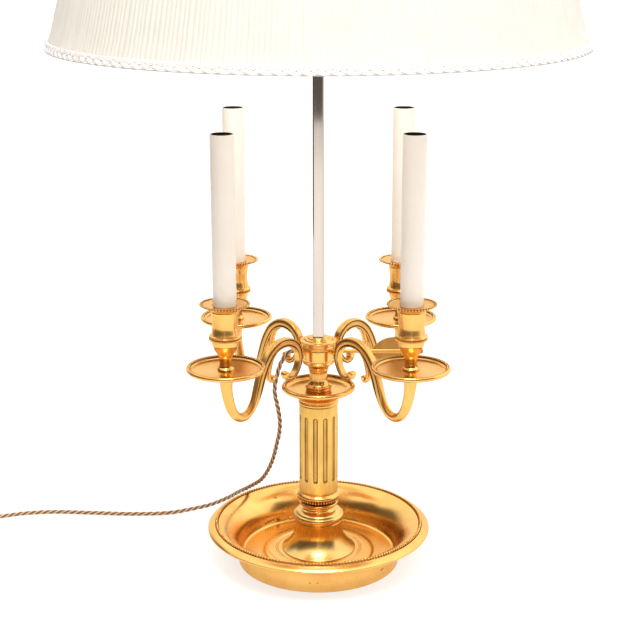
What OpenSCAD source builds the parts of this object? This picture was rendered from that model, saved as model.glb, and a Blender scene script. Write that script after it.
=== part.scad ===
// Bouillotte table lamp: a gilt dish base, a fluted column and an urn that
// carries four scroll arms with candle lights.  A square rod slides through
// the urn, is locked by an arrow-shaped key and carries a wide pleated shade.
// Millimetres, +Z up, origin on the table under the column's axis.

/* [Base dish] */
// Radius of the drum that the dish stands on
foot_r = 90.4; // [86:0.2:94]
// Radius of the dish's outer lip
lip_r = 124.5; // [120:0.5:130]
// Height of the beaded edge of the dish
lip_h = 45.8; // [44:0.2:48]

/* [Column] */
// Radius of the fluted column
column_r = 21.4; // [20.5:0.1:22.5]
// Number of flutes
flutes = 12; // [8:1:16]
// Angle of the first flute from the +X axis
flute_turn = 261; // [240:1:280]
// Radius of a flute's cutter
flute_r = 2.6; // [2:0.1:3]

/* [Arms] */
// Distance of each candle from the column's axis
arm_reach = 134; // [130:1:140]
// Number of arms
arms = 4; // [4:1:4]
// Width of the cast arm's section
arm_w = 7.4; // [6:0.2:9]

/* [Candles] */
// Outer radius of a candle sleeve
candle_r = 12; // [11.6:0.1:12]
// Height of a candle sleeve's top above the table
candle_top = 498; // [440:1:520]
// Thread radius of the small screw lampholder
holder_thread_r = 7; // [7:0.1:7.2]

/* [Rod] */
// Width of the square sliding rod
rod_w = 12; // [10:0.5:12]
// Lowest point of the rod at rest
rod_low = 96; // [90:1:110]

/* [Shade] */
// Radius of the shade's lower edge
shade_r = 277.2; // [260:1:280]
// Radius of the shade's upper edge
shade_top_r = 214; // [190:1:220]
// Height of the shade's lower edge above the table
shade_low = 575; // [560:1:600]
// Height of the shade
shade_h = 240; // [230:1:250]

/* [Cord] */
// Diameter of the twisted flex
cord_d = 5.2; // [4:0.1:7]

/* [Hidden] */
$fn = 96;

// Arm angles: front right, back right, back left, front left
FR = -45; BR = 45; BL = 135; FL = 225;
// Height of the urn's cross bores for the key and the cord
key_z = 245.5;
// Clear hole for the rod, and the bore of the stacked castings
rod_hole = rod_w + 0.2;
bore_r = 10.8;
// Length of the solid below the shade's profile points
shade_top = shade_low + shade_h;

// ---------- helpers ----------
// Catmull-Rom curve through points p, n steps between neighbours
function pt(p, i) = i < 0 ? 2 * p[0] - p[1] : i >= len(p) ? 2 * p[len(p) - 1] - p[len(p) - 2] : p[i];
function cr(a, b, c, d, t) = 0.5 * (2 * b + (c - a) * t + (2 * a - 5 * b + 4 * c - d) * t * t + (3 * b - a - 3 * c + d) * t * t * t);
function curve(p, n) = concat(
  [for (i = [0:len(p) - 2], k = [0:n - 1]) cr(pt(p, i - 1), pt(p, i), pt(p, i + 1), pt(p, i + 2), k / n)],
  [p[len(p) - 1]]);
function unit(v) = v / norm(v);
function tang(c, i) = unit(c[min(i + 1, len(c) - 1)] - c[max(i - 1, 0)]);
// Outline of a 2D band: rows are [x, y, half thickness]
function side2(c, s) = [for (i = [0:len(c) - 1])
  let (t = unit([for (k = [0:1]) c[min(i + 1, len(c) - 1)][k] - c[max(i - 1, 0)][k]]))
  [c[i][0] - s * t[1] * c[i][2], c[i][1] + s * t[0] * c[i][2]]];
function rev(v) = [for (i = [len(v) - 1:-1:0]) v[i]];
module band(p, n = 4) {
  c = curve(p, n);
  polygon(concat(side2(c, 1), rev(side2(c, -1))));
}
module at_arm(a) { rotate([0, 0, a]) translate([arm_reach, 0, 0]) children(); }
module ring(profile) { rotate_extrude($fn = 128) polygon(profile); }
module square_hole(z0, z1) { translate([-rod_hole / 2, -rod_hole / 2, z0]) cube([rod_hole, rod_hole, z1 - z0]); }

// ---------- base ----------
module base_dish() color([0.86, 0.62, 0.28]) union() {
  ring([
    [foot_r, 0.8], [foot_r, 18.5], [foot_r + 0.6, 22.5], [foot_r + 2.6, 26.6], [foot_r + 6.6, 30.6], [102.5, 34.6],
    [111, 37.2], [119, 38.2], [lip_r - 1, 38.8], [lip_r, 39.8], [lip_r - 0.2, 41], [lip_r - 2.2, 42.8],
    [119, 44.6], [116.2, 45.6], [113, 45.8],
    [111, 45.2], [106.6, 43.4], [101, 39.8], [95.6, 34.6], [91.4, 28.2], [88.8, 21], [87.4, 14], [86.2, 10.6], [84.6, 9.4],
    [82, 9], [64, 9], [62.4, 9.4], [61.4, 10.8], [60, 12], [57.5, 12.9], [52, 13.5], [48.6, 13.5], [47.8, 12.6], [46.6, 12.6], [45.8, 13.5],
    [bore_r, 13.5], [bore_r, 9.5], [54, 9.5], [58, 6.2], [83.6, 6.2], [84.8, 4.6], [86, 4.6], [86, 0.8]
  ]);
  rotate_extrude($fn = 128) translate([114.6, lip_h]) circle(r = 1.3, $fn = 24);
}
module felt_pad() color([0.12, 0.28, 0.18]) cylinder(r = 85.8, h = 2, $fn = 128);
module base_washer() color([0.72, 0.6, 0.35]) translate([0, 0, 8.3]) difference() {
  cylinder(r = 22, h = 1.2);
  translate([0, 0, -1]) cylinder(r = bore_r, h = 4);
}
module base_nut() color([0.75, 0.62, 0.36]) translate([0, 0, 3]) difference() {
  cylinder(r = 16.5, h = 5.3, $fn = 6);
  translate([0, 0, -1]) cylinder(r = 10.55, h = 8);
}
module tie_tube() color([0.7, 0.6, 0.4]) translate([0, 0, 2.4]) difference() {
  cylinder(r = 10.5, h = 204.2);
  translate([0, 0, -1]) cylinder(r = 9.1, h = 210);
}

// ---------- pedestal and column ----------
module pedestal_bell() color([0.86, 0.62, 0.28]) ring([
  [bore_r, 13.5], [41.4, 13.5], [41.4, 14.2], [38.4, 16.6], [35.2, 19.6], [32.6, 22.7], [30.4, 26], [28.6, 29.4], [27.3, 33],
  [26.5, 37], [26.1, 41], [26, 45.6], [26.8, 46.4], [26.9, 48], [26.4, 48.8], [26.6, 49.4], [27.8, 50.6], [28.4, 52], [28.5, 53.6],
  [28.1, 55.2], [27.2, 56.4], [25.8, 57], [25.6, 57.8], [24.6, 59], [22.6, 60.1], [20, 60.8], [bore_r, 60.8]]);
module pedestal_collar() color([0.86, 0.62, 0.28]) ring([
  [bore_r, 60.8], [19.6, 60.8], [18, 62], [17.2, 63.6], [17.2, 65], [18, 66.2], [20.4, 67], [21.6, 67.8], [21.9, 69], [21.4, 70.2],
  [20.2, 70.9], [18.9, 71.3],
  [18.5, 72.4], [18.6, 73.4], [19.6, 74.2], [22.4, 74.6], [23.2, 75], [23.6, 75.9], [23.9, 77], [24, 78.2], [23.8, 79.3], [23.1, 80.4],
  [22.2, 81.4], [21.6, 82], [21.1, 82.4], [21.1, 83], [21.4, 83.6], [21.4, 84], [bore_r, 84]]);
module fluted_column() color([0.88, 0.66, 0.32]) difference() {
  translate([0, 0, 84]) cylinder(r = column_r, h = 102);
  translate([0, 0, 80]) cylinder(r = bore_r, h = 110);
  for (i = [0:flutes - 1]) rotate([0, 0, flute_turn + i * 360 / flutes]) translate([column_r + 0.6, 0, 0]) {
    translate([0, 0, 100.6]) cylinder(r = flute_r, h = 71.2, $fn = 24);
    translate([0, 0, 100.6]) sphere(r = flute_r, $fn = 24);
    translate([0, 0, 171.8]) sphere(r = flute_r, $fn = 24);
  }
}
module column_capital() color([0.86, 0.62, 0.28]) ring([
  [bore_r, 186], [21.2, 186], [22, 186.8], [22.2, 188.2], [21.8, 189.2], [21.1, 189.9], [21.1, 190.6], [22.4, 191.2], [22.9, 192],
  [22.8, 193], [22, 193.6], [19.4, 194], [18.6, 195], [18.6, 196.6], [19.6, 197.8], [21.6, 198.6], [bore_r, 198.6]]);
module central_drip_pan() color([0.88, 0.64, 0.3]) ring([
  [bore_r, 198.6], [24, 198.6], [32, 199.4], [36.4, 200.6], [39.2, 202], [40.4, 203.4], [40.6, 204.8], [40.2, 206], [39, 207],
  [38, 207.2], [37.2, 206.4], [36.8, 204.8], [35.6, 203], [33.4, 201.9], [30, 201.5], [bore_r, 201.5]]);

// ---------- urn ----------
module urn_stem() color([0.84, 0.56, 0.22]) difference() {
  ring([
    [0, 201.5], [12.9, 201.5], [13.6, 202.2], [13.6, 203.4], [13, 204.1], [13.8, 204.7], [14.7, 205.4], [14.7, 206.7], [13.8, 207.3],
    [12.2, 208.2], [11, 210], [10.2, 212.6], [9.9, 215.4], [9.9, 221.6], [10.4, 224], [11.3, 225.6], [11, 226.6], [11.6, 228.2],
    [13.2, 230.2], [14.8, 231.6], [0, 231.6]]);
  translate([0, 0, 201]) cylinder(r = 10.6, h = 5.8);
  square_hole(200, 240);
}
module urn_body() color([0.88, 0.64, 0.3]) difference() {
  union() {
    ring([
      [0, 231.6], [15, 231.6], [16.4, 232], [17.3, 232.9], [17.3, 233.7], [16.7, 234.5], [16.1, 235], [16.2, 235.8], [16.8, 236.5],
    [16.9, 237.2], [16.9, 248.8], [16.6, 249.4], [16.2, 249.9], [16.5, 250.5], [17, 250.9], [17.1, 251.5], [16.8, 252], [16.2, 252.5],
    [16.3, 253.1], [16.8, 253.6], [16.8, 254.6], [0, 254.6]]);
    translate([0, 0, key_z]) rotate([0, 90, 0]) translate([0, 0, 12.6]) cylinder(r = 4.2, h = 7, $fn = 48);
    translate([0, 0, key_z]) rotate([0, -90, 0]) translate([0, 0, 12.6]) cylinder(r = 4.4, h = 6.2, $fn = 48);
  }
  translate([0, 0, 238.4]) cylinder(r = 12.2, h = 20);
  square_hole(230, 240);
  for (a = [FR, BR, BL, FL]) rotate([0, 0, a]) translate([10, -1.35, 246.7]) cube([9, 2.7, 4.4]);
  translate([10, 0, key_z]) rotate([0, 90, 0]) cylinder(r = 2.56, h = 12, $fn = 48);
  translate([-10, 0, key_z]) rotate([0, -90, 0]) cylinder(r = 3.1, h = 12, $fn = 48);
}
module urn_cap() color([0.88, 0.66, 0.32]) difference() {
  ring([
    [0, 254.6], [16.7, 254.6], [16.9, 255.6], [17.6, 256.4], [19, 256.9], [20.2, 257.2], [20.5, 257.7], [20.4, 258.3], [19.9, 258.7],
    [19.2, 258.6], [18.6, 258.3], [17.4, 258.5], [15.8, 258.9], [15.4, 259.4], [15.2, 260], [14.5, 260.3], [12.4, 260.5], [11.9, 260.9],
    [11.7, 261.6], [11.2, 262], [10.2, 262.1], [9.8, 262.5], [9.4, 262.6], [0, 262.6]]);
  square_hole(250, 270);
}

// ---------- arms ----------
// Arm centreline in its own plane: distance from the axis, height, half thickness
ARM = [
  [50.6, 231.8, 1.2], [51, 229, 2.1], [48, 226, 2.6], [43, 225.2, 2.6], [37.4, 228, 2.4], [33, 234, 2.4], [30.4, 241, 2.7],
  [30, 248, 3.4], [32, 255.4, 4.1], [37.5, 261.6, 4.7], [45.5, 265.4, 4.9], [54.5, 266.2, 4.9], [63.5, 263.8, 4.8], [73, 257, 4.8],
  [79.8, 247.5, 4.8], [85.4, 236, 4.7], [90.4, 222, 4.6], [95.8, 209.5, 4.6], [103.4, 200.6, 4.6], [112.5, 197.6, 4.7],
  [121.5, 201.5, 4.9], [127.8, 211, 5.3], [131.4, 222, 5.7], [133.6, 233, 6.1]];
// Thin inner scroll that leaves the arch and hangs inside it
LEAF = [
  [64, 260, 2.6], [70, 253.6, 2.4], [73.4, 245, 2.3], [74.8, 236.6, 2.1], [74, 230.6, 2], [71, 228, 1.8], [68.4, 229.6, 1.6], [68.6, 232, 1.2]];
// Side view of the thin web that joins the arm to the urn and ends as a tenon inside it
WEB = [[12.4, 246.8], [18, 246.8], [24, 245.8], [28.6, 245.2], [29, 252], [24, 251.4], [20.5, 251], [12.4, 251]];
module arm() color([0.9, 0.66, 0.32]) difference() {
  union() {
    rotate([90, 0, 0]) translate([0, 0, -arm_w / 2]) linear_extrude(height = arm_w) band(ARM, 3);
    rotate([90, 0, 0]) translate([0, 0, -2.6]) linear_extrude(height = 5.2) band(LEAF, 3);
    translate([arm_reach, 0, 0]) ring([[0, 222], [4.2, 224], [4.9, 228], [5.6, 233], [6.4, 238], [7.2, 243], [7.9, 250], [8, 251], [0, 251]]);
    rotate([90, 0, 0]) translate([0, 0, -1.3]) linear_extrude(height = 2.6) polygon(WEB);
  }
  translate([arm_reach, 0, 240]) cylinder(r = 5.05, h = 12, $fn = 48);
}
module arm_front_right() rotate([0, 0, FR]) arm();
module arm_back_right() rotate([0, 0, BR]) arm();
module arm_back_left() rotate([0, 0, BL]) arm();
module arm_front_left() rotate([0, 0, FL]) arm();

module drip_pan() color([0.88, 0.64, 0.3]) ring([
  [5.1, 251], [9.4, 251], [10, 251.8], [20, 252.2], [33, 252.8], [37.6, 253.6], [40, 254.6], [41, 256], [41, 257.2], [40.4, 258.4],
  [39.4, 259], [38.4, 259], [37.7, 258.2], [37.2, 256.8], [36, 255.8], [34, 255.4], [5.1, 255.4]]);
module drip_pan_front_right() at_arm(FR) drip_pan();
module drip_pan_back_right() at_arm(BR) drip_pan();
module drip_pan_back_left() at_arm(BL) drip_pan();
module drip_pan_front_left() at_arm(FL) drip_pan();

module candle_cup() color([0.9, 0.66, 0.3]) ring([
  [5.1, 255.4], [8.8, 255.4], [8.8, 256.8], [8.2, 257.6], [7.2, 258.6], [6.6, 260.4], [6.5, 264], [6.7, 267], [7.3, 269.6],
  [8.6, 272.2], [10.4, 275.2], [12.2, 278.6], [13.2, 281.2], [13.7, 283.4], [13.7, 287], [14, 288.2], [15.2, 289.6], [16.6, 290.4],
  [16.9, 291.2], [16.4, 292.2], [14.5, 293.2], [14.3, 295], [13.9, 297.6], [13.5, 300.4], [13.4, 303], [13.6, 309], [14.1, 314], [14.7, 317.4],
  [14.4, 318.6], [15.4, 319.8], [17.6, 321.4], [21, 322.8], [24.8, 323.6], [25.8, 324.4], [25.9, 325.4], [25.2, 326.2], [24.2, 326],
  [23.4, 325.2], [21.5, 324.6], [candle_r + 0.3, 324.2], [candle_r + 0.3, 300], [5.1, 300]]);
module candle_cup_front_right() at_arm(FR) candle_cup();
module candle_cup_back_right() at_arm(BR) candle_cup();
module candle_cup_back_left() at_arm(BL) candle_cup();
module candle_cup_front_left() at_arm(FL) candle_cup();

// Threaded tubes that clamp pan and cup to the arm and carry the lampholders
module holder_stems() color([0.75, 0.65, 0.4]) for (a = [FR, BR, BL, FL]) at_arm(a) translate([0, 0, 240]) difference() {
  cylinder(r = 5, h = 212, $fn = 48);
  translate([0, 0, -1]) cylinder(r = 3.6, h = 214, $fn = 48);
}
module lampholders() color([0.05, 0.05, 0.05]) for (a = [FR, BR, BL, FL]) at_arm(a) difference() {
  union() {
    translate([0, 0, candle_top - 54]) cylinder(r = 8, h = 22, $fn = 64);
    translate([0, 0, candle_top - 32]) cylinder(r = 10.4, h = 30, $fn = 64);
  }
  translate([0, 0, candle_top - 24]) cylinder(r = holder_thread_r, h = 30, $fn = 64);
  translate([0, 0, candle_top - 28]) cylinder(r = 4.6, h = 5, $fn = 48);
  translate([0, 0, candle_top - 55]) cylinder(r = 5.05, h = 16, $fn = 48);
}
module lampholder_contacts() color([0.85, 0.7, 0.4]) for (a = [FR, BR, BL, FL]) at_arm(a) {
  translate([0, 0, candle_top - 28]) cylinder(r = 4.5, h = 0.8, $fn = 32);
  translate([0, 0, candle_top - 27.2]) cylinder(r1 = 2.4, r2 = 1.6, h = 2.6, $fn = 32);
}
module candle_sleeve() color([0.96, 0.93, 0.86]) translate([0, 0, 300]) difference() {
  cylinder(r = candle_r, h = candle_top - 300, $fn = 96);
  translate([0, 0, -1]) cylinder(r = candle_r - 1, h = candle_top - 298, $fn = 96);
}
module candle_sleeve_front_right() at_arm(FR) candle_sleeve();
module candle_sleeve_back_right() at_arm(BR) candle_sleeve();
module candle_sleeve_back_left() at_arm(BL) candle_sleeve();
module candle_sleeve_front_left() at_arm(FL) candle_sleeve();

// ---------- rod, shade and finial ----------
rod_c = 1.3;
module square_rod() color([0.8, 0.8, 0.82]) translate([0, 0, rod_low]) difference() {
  linear_extrude(height = shade_top - 21 - rod_low) polygon([
    [rod_w / 2, rod_w / 2 - rod_c], [rod_w / 2 - rod_c, rod_w / 2], [-rod_w / 2 + rod_c, rod_w / 2], [-rod_w / 2, rod_w / 2 - rod_c],
    [-rod_w / 2, -rod_w / 2 + rod_c], [-rod_w / 2 + rod_c, -rod_w / 2], [rod_w / 2 - rod_c, -rod_w / 2], [rod_w / 2, -rod_w / 2 + rod_c]]);
  translate([0, 0, shade_top - 21 - rod_low - 20]) cylinder(r = 4.02, h = 30, $fn = 48);
}
module rod_stud() color([0.75, 0.65, 0.4]) translate([0, 0, shade_top - 40]) cylinder(r = 4, h = 38, $fn = 48);

// Lower part of the shade flares out; rows are [radius, height above the lower edge]
SHADE = [
  [shade_r, 0], [shade_r - 3.6, 8], [shade_r - 6.6, 17], [shade_r - 10.2, 30], [shade_r - 14.2, 46],
  [shade_r - 22, 76], [shade_top_r, shade_h]];
function shell(p, d0, d1, z0, z1) = concat(
  [for (q = p) [q[0] + d0, shade_low + max(z0, min(z1, q[1]))]],
  rev([for (q = p) [q[0] + d1, shade_low + max(z0, min(z1, q[1]))]]));
// Radius of the shade at a height above its lower edge
function shade_at(h) = lookup(h, [for (q = SHADE) [q[1], q[0]]]);
function shade_band(h0, h1, d0, d1) = [
  [shade_at(h0) + d0, shade_low + h0], [shade_at(h0) + d1, shade_low + h0],
  [shade_at(h1) + d1, shade_low + h1], [shade_at(h1) + d0, shade_low + h1]];
module shade_cover() color([0.95, 0.92, 0.84]) ring(shell(SHADE, 0, -1.2, 0, shade_h));
module shade_lining() color([0.97, 0.95, 0.9]) rotate_extrude($fn = 128) polygon(concat(
  [[shade_at(6) - 6.3, shade_low + 6]], [for (i = [2:5]) [SHADE[i][0] - 6.3, shade_low + SHADE[i][1]]], [[shade_at(shade_h - 7) - 6.3, shade_top - 7]],
  [[shade_at(shade_h - 7) - 7.1, shade_top - 7]], rev([for (i = [2:5]) [SHADE[i][0] - 7.1, shade_low + SHADE[i][1]]]), [[shade_at(6) - 7.1, shade_low + 6]]));
module shade_gimp_bottom() color([0.96, 0.93, 0.84]) ring(shade_band(-0.5, 9, 0.35, 2));
module shade_gimp_top() color([0.96, 0.93, 0.84]) ring(shade_band(shade_h - 8, shade_h + 0.5, 0.35, 2));
// Wire frame of the shade: two rings joined by eight ribs
rib_w = 1.5;
wire_r0 = shade_at(4) - 3.3; wire_r1 = shade_top_r - 2.9;
wire_z0 = shade_low + 4; wire_z1 = shade_top - 3;
module shade_wires() color([0.85, 0.83, 0.76]) union() {
  translate([0, 0, wire_z0]) rotate_extrude($fn = 128) translate([wire_r0, 0]) circle(r = rib_w, $fn = 20);
  translate([0, 0, wire_z1]) rotate_extrude($fn = 128) translate([wire_r1, 0]) circle(r = rib_w, $fn = 20);
  for (i = [0:7]) rotate([0, 0, 22.5 + i * 45])
    translate([wire_r0 - 1.8, 0, wire_z0]) rotate([0, atan2(wire_r1 - wire_r0 + 1.4, wire_z1 - wire_z0), 0])
      cylinder(r = rib_w - 0.2, h = norm([wire_r1 - wire_r0 + 1.4, wire_z1 - wire_z0]), $fn = 20);
}
// Three spokes from the top ring to the washer that sits on the rod's shoulder
module shade_spider() color([0.85, 0.7, 0.42]) union() {
  for (i = [0:2]) rotate([0, 0, 90 + i * 120]) translate([12, 0, shade_top - 19])
    rotate([0, 90 - atan2(15.5, wire_r1 - 13.5), 0]) cylinder(r = 2.2, h = norm([wire_r1 - 13.5, 15.5]), $fn = 24);
  translate([0, 0, shade_top - 21]) difference() {
    cylinder(r = 15, h = 4);
    translate([0, 0, -1]) cylinder(r = 4.2, h = 6, $fn = 48);
  }
}
module finial() color([0.88, 0.64, 0.3]) difference() {
  translate([0, 0, shade_top - 17]) ring([
    [0, 0], [9.5, 0], [10, 1], [10, 3], [9, 4], [6.4, 5.4], [5.8, 7.6], [6.4, 9.6], [8.2, 11], [8.6, 12.6], [7.6, 14], [6.2, 15],
    [6.6, 17], [9.4, 20], [11.4, 24], [12, 28], [11.4, 32], [9.4, 36], [6.6, 39.4], [4, 42], [3, 44], [3.4, 46], [4.2, 47.6], [4.2, 49],
    [3, 50.8], [0, 51.6]]);
  translate([0, 0, shade_top - 18]) cylinder(r = 4.02, h = 17, $fn = 48);
}

// ---------- key and cord outlet ----------
// Upper vane of the arrow's feather: distance along the shaft, height above it
VANE = [[57, 0], [60, 4.4], [65, 9.8], [71, 13.6], [78, 15.8], [87, 16.2], [97, 15.4], [105, 13.4], [107, 11.6], [105.6, 8.2], [102, 4.4], [99.4, 0]];
module arrow_key() color([0.88, 0.62, 0.28]) translate([0, 0, key_z]) union() {
  translate([6.15, 0, 0]) rotate([0, 90, 0]) cylinder(r = 2.5, h = 106, $fn = 48);
  translate([20, 0, 0]) rotate([0, 90, 0]) cylinder(r = 3.8, h = 2.4, $fn = 48);
  for (s = [0, 180]) rotate([s, 0, 0]) rotate([90, 0, 0]) translate([0, 0, -1.1]) linear_extrude(height = 2.2) polygon(VANE);
  translate([111.4, 0, 0]) sphere(r = 3.1, $fn = 32);
}
module cord_bush() color([0.75, 0.6, 0.35]) translate([0, 0, key_z]) rotate([0, -90, 0]) difference() {
  union() {
    translate([0, 0, 12.4]) cylinder(r = 3.05, h = 6.4, $fn = 48);
    translate([0, 0, 18.8]) cylinder(r1 = 4.2, r2 = 3.6, h = 2.4, $fn = 48);
  }
  translate([0, 0, 12]) cylinder(r = 2.7, h = 10, $fn = 48);
}

// ---------- cord, switch and plug ----------
// Route of the flex from the urn, over the dish's lip and along the table
RUN_A = [
  [-21.4, 0, 245.5], [-25.4, 0, 245.8], [-30, 0, 245], [-34.6, 1, 242], [-38.8, 1, 236], [-43, 2, 226], [-46.4, 2, 213], [-48.2, 3, 203],
  [-47.8, 4, 193], [-45.8, 6, 182], [-44, 8, 171], [-43, 11, 160], [-44, 16, 144], [-47.4, 23, 127], [-51, 31, 110], [-57, 42, 91], [-67, 59, 70], [-83, 82, 51], [-96, 98, 38],
  [-109, 112, 25], [-131, 121, 12], [-156, 123, 5], [-184, 117, 2.8], [-226, 114, 2.8], [-272, 117, 2.8], [-320, 120, 2.8],
  [-356, 116, 2.8], [-386, 106, 3], [-404, 101, 5], [-418, 100, 7.5]];
// From the switch to the coil
RUN_B = [[-480, 100, 7.5], [-490, 99, 6], [-502, 96, 3.6], [-514, 93, 2.8]];
// From the coil to the plug
RUN_C = [[-553, 57, 13], [-553, 47, 12.4], [-553.3, 38, 9.6], [-553, 29, 7.3], [-553, 22, 7.2], [-553, 18, 7.2], [-553, 14, 7.2]];
coil_x = -520; coil_y = 60; coil_r = 30.36;
function sweep_ring(c, i, r, m) = let (t = tang(c, i), u = unit(cross(t, [0.3, -1, 0])), v = cross(t, u))
  [for (k = [0:m - 1]) c[i] + r * (cos(360 * k / m) * u + sin(360 * k / m) * v)];
module tube(p, n, r, m = 10) {
  c = curve(p, n);
  k = len(c);
  pts = [for (i = [0:k - 1], q = sweep_ring(c, i, r, m)) q];
  polyhedron(points = pts, faces = concat(
    [[for (j = [0:m - 1]) j]],
    [for (i = [0:k - 2], j = [0:m - 1]) [i * m + j, (i + 1) * m + j, (i + 1) * m + (j + 1) % m]],
    [for (i = [0:k - 2], j = [0:m - 1]) [i * m + j, (i + 1) * m + (j + 1) % m, i * m + (j + 1) % m]],
    [[for (j = [m - 1:-1:0]) (k - 1) * m + j]]), convexity = 8);
}
module cord_lamp_run() color([0.72, 0.52, 0.3]) tube(RUN_A, 2, cord_d / 2);
module cord_switch_run() color([0.72, 0.52, 0.3]) tube(RUN_B, 2, cord_d / 2);
module cord_plug_run() color([0.72, 0.52, 0.3]) tube(RUN_C, 2, cord_d / 2);
module cord_coil() color([0.72, 0.52, 0.3]) translate([coil_x, coil_y, 0]) rotate_extrude($fn = 96) polygon([
  [coil_r - cord_d, 1.2], [coil_r - cord_d + 1.2, 0.1], [coil_r + cord_d - 1.2, 0.1], [coil_r + cord_d, 1.2],
  [coil_r + cord_d, 3 * cord_d - 1.2], [coil_r + cord_d - 1.2, 3 * cord_d], [coil_r - cord_d + 1.2, 3 * cord_d], [coil_r - cord_d, 3 * cord_d - 1.2]]);

sw_x = -449; sw_y = 100;
module capsule(l, w, h) {
  translate([-(l - w) / 2, -w / 2, 0]) cube([l - w, w, h]);
  for (s = [-1, 1]) translate([s * (l - w) / 2, 0, 0]) cylinder(r = w / 2, h = h, $fn = 64);
}
module switch_base() color([0.35, 0.22, 0.12]) translate([sw_x, sw_y, 0]) difference() {
  capsule(62, 24, 7.4);
  translate([0, 0, 1.6]) capsule(58, 20, 8);
  translate([-32, 0, 7.5]) rotate([0, 90, 0]) cylinder(r = 2.8, h = 64, $fn = 32);
}
module switch_cover() color([0.35, 0.22, 0.12]) translate([sw_x, sw_y, 7.6]) difference() {
  union() {
    capsule(62, 24, 5.4);
    translate([0, 0, 5.4]) capsule(58, 20, 1.6);
  }
  translate([0, 0, -0.1]) capsule(58, 20, 5);
  translate([-32, 0, -0.1]) rotate([0, 90, 0]) cylinder(r = 2.8, h = 64, $fn = 32);
  translate([-9.5, -5.5, 0]) cube([19, 11, 10]);
  translate([0, -11.3, 1.8]) rotate([-90, 0, 0]) cylinder(r = 1.2, h = 22.6, $fn = 32);
}
module switch_rocker() color([0.08, 0.06, 0.05]) translate([sw_x, sw_y, 9.4]) rotate([0, 9, 0]) union() {
  intersection() {
    translate([-8.6, -5, -2.6]) cube([17.2, 10, 10]);
    translate([0, 6, -8]) rotate([90, 0, 0]) cylinder(r = 15.6, h = 12, $fn = 96);
  }
  translate([0, -11, 0]) rotate([-90, 0, 0]) cylinder(r = 1, h = 22, $fn = 32);
}
pl_x = -553; pl_y = 14; pl_z = 7.2;
module plug_body() color([0.35, 0.22, 0.12]) translate([pl_x, pl_y, pl_z]) rotate([0, 0, -90]) difference() {
  union() {
    translate([0, 0, 0]) rotate([0, 90, 0]) cylinder(r1 = 4.2, r2 = 6.4, h = 12, $fn = 48);
    translate([10, -10.4, -7]) cube([24, 20.8, 14]);
    for (s = [-1, 1]) translate([10, s * 10.4, 0]) rotate([0, 90, 0]) cylinder(r = 7, h = 24, $fn = 48);
  }
  for (s = [-1, 1]) translate([24, s * 9.3, 0]) rotate([0, 90, 0]) cylinder(r = 1.62, h = 12, $fn = 32);
}
module plug_pins() color([0.8, 0.78, 0.7]) translate([pl_x, pl_y, pl_z]) rotate([0, 0, -90]) for (s = [-1, 1]) translate([24, s * 9.3, 0]) rotate([0, 90, 0]) union() {
  cylinder(r = 1.6, h = 12, $fn = 32);
  translate([0, 0, 10.4]) cylinder(r = 2, h = 18.6, $fn = 32);
}

base_dish();
felt_pad();
base_washer();
base_nut();
tie_tube();
pedestal_bell();
pedestal_collar();
fluted_column();
column_capital();
central_drip_pan();
urn_stem();
urn_body();
urn_cap();
arm_front_right();
arm_back_right();
arm_back_left();
arm_front_left();
drip_pan_front_right();
drip_pan_back_right();
drip_pan_back_left();
drip_pan_front_left();
candle_cup_front_right();
candle_cup_back_right();
candle_cup_back_left();
candle_cup_front_left();
holder_stems();
lampholders();
lampholder_contacts();
candle_sleeve_front_right();
candle_sleeve_back_right();
candle_sleeve_back_left();
candle_sleeve_front_left();
square_rod();
rod_stud();
shade_spider();
shade_wires();
shade_cover();
shade_lining();
shade_gimp_bottom();
shade_gimp_top();
finial();
arrow_key();
cord_bush();
cord_lamp_run();
cord_switch_run();
cord_coil();
cord_plug_run();
switch_base();
switch_cover();
switch_rocker();
plug_body();
plug_pins();
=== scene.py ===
# Looks of the bouillotte lamp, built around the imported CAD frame.
import math
import bpy
import bmesh
import numpy as np
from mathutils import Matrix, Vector


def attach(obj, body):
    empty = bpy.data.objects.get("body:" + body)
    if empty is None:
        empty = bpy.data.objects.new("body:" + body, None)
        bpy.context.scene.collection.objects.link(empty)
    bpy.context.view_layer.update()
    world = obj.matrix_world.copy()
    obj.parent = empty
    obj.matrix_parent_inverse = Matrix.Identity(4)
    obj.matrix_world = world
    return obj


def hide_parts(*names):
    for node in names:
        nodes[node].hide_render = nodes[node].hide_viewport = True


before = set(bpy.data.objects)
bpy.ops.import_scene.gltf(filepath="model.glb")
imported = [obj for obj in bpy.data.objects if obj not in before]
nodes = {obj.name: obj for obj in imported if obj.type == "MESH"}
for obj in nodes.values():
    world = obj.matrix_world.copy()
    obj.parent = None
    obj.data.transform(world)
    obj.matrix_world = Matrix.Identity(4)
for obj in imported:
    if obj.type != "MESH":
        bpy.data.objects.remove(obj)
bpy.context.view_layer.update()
MM = 0.001
TAU = 2 * math.pi
QUADS = ["front_right", "back_right", "back_left", "front_left"]
ANGLE = {"front_right": -45.0, "back_right": 45.0, "back_left": 135.0, "front_left": 225.0}
REACH = 134.0


# ------------------------------------------------------------------ helpers
def new_object(name, verts, faces, material=None, smooth=True, sharp=None, at=(0, 0, 0)):
    """A mesh object from points in millimetres."""
    me = bpy.data.meshes.new(name)
    v = np.asarray(verts, float) * MM
    me.from_pydata(v.tolist(), [], [list(map(int, f)) for f in faces])
    me.update()
    if smooth:
        me.polygons.foreach_set("use_smooth", [True] * len(me.polygons))
        if sharp:
            me.set_sharp_from_angle(angle=math.radians(sharp))
    o = bpy.data.objects.new(name, me)
    bpy.context.scene.collection.objects.link(o)
    o.location = Vector(at) * MM
    if material:
        me.materials.append(material)
    return o


def marked(o, values):
    """A value per point, which the materials read as painted shade: 1 where it is darkest."""
    a = o.data.attributes.new("mark", "FLOAT", "POINT")
    a.data.foreach_set("value", np.asarray(values, float))


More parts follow.
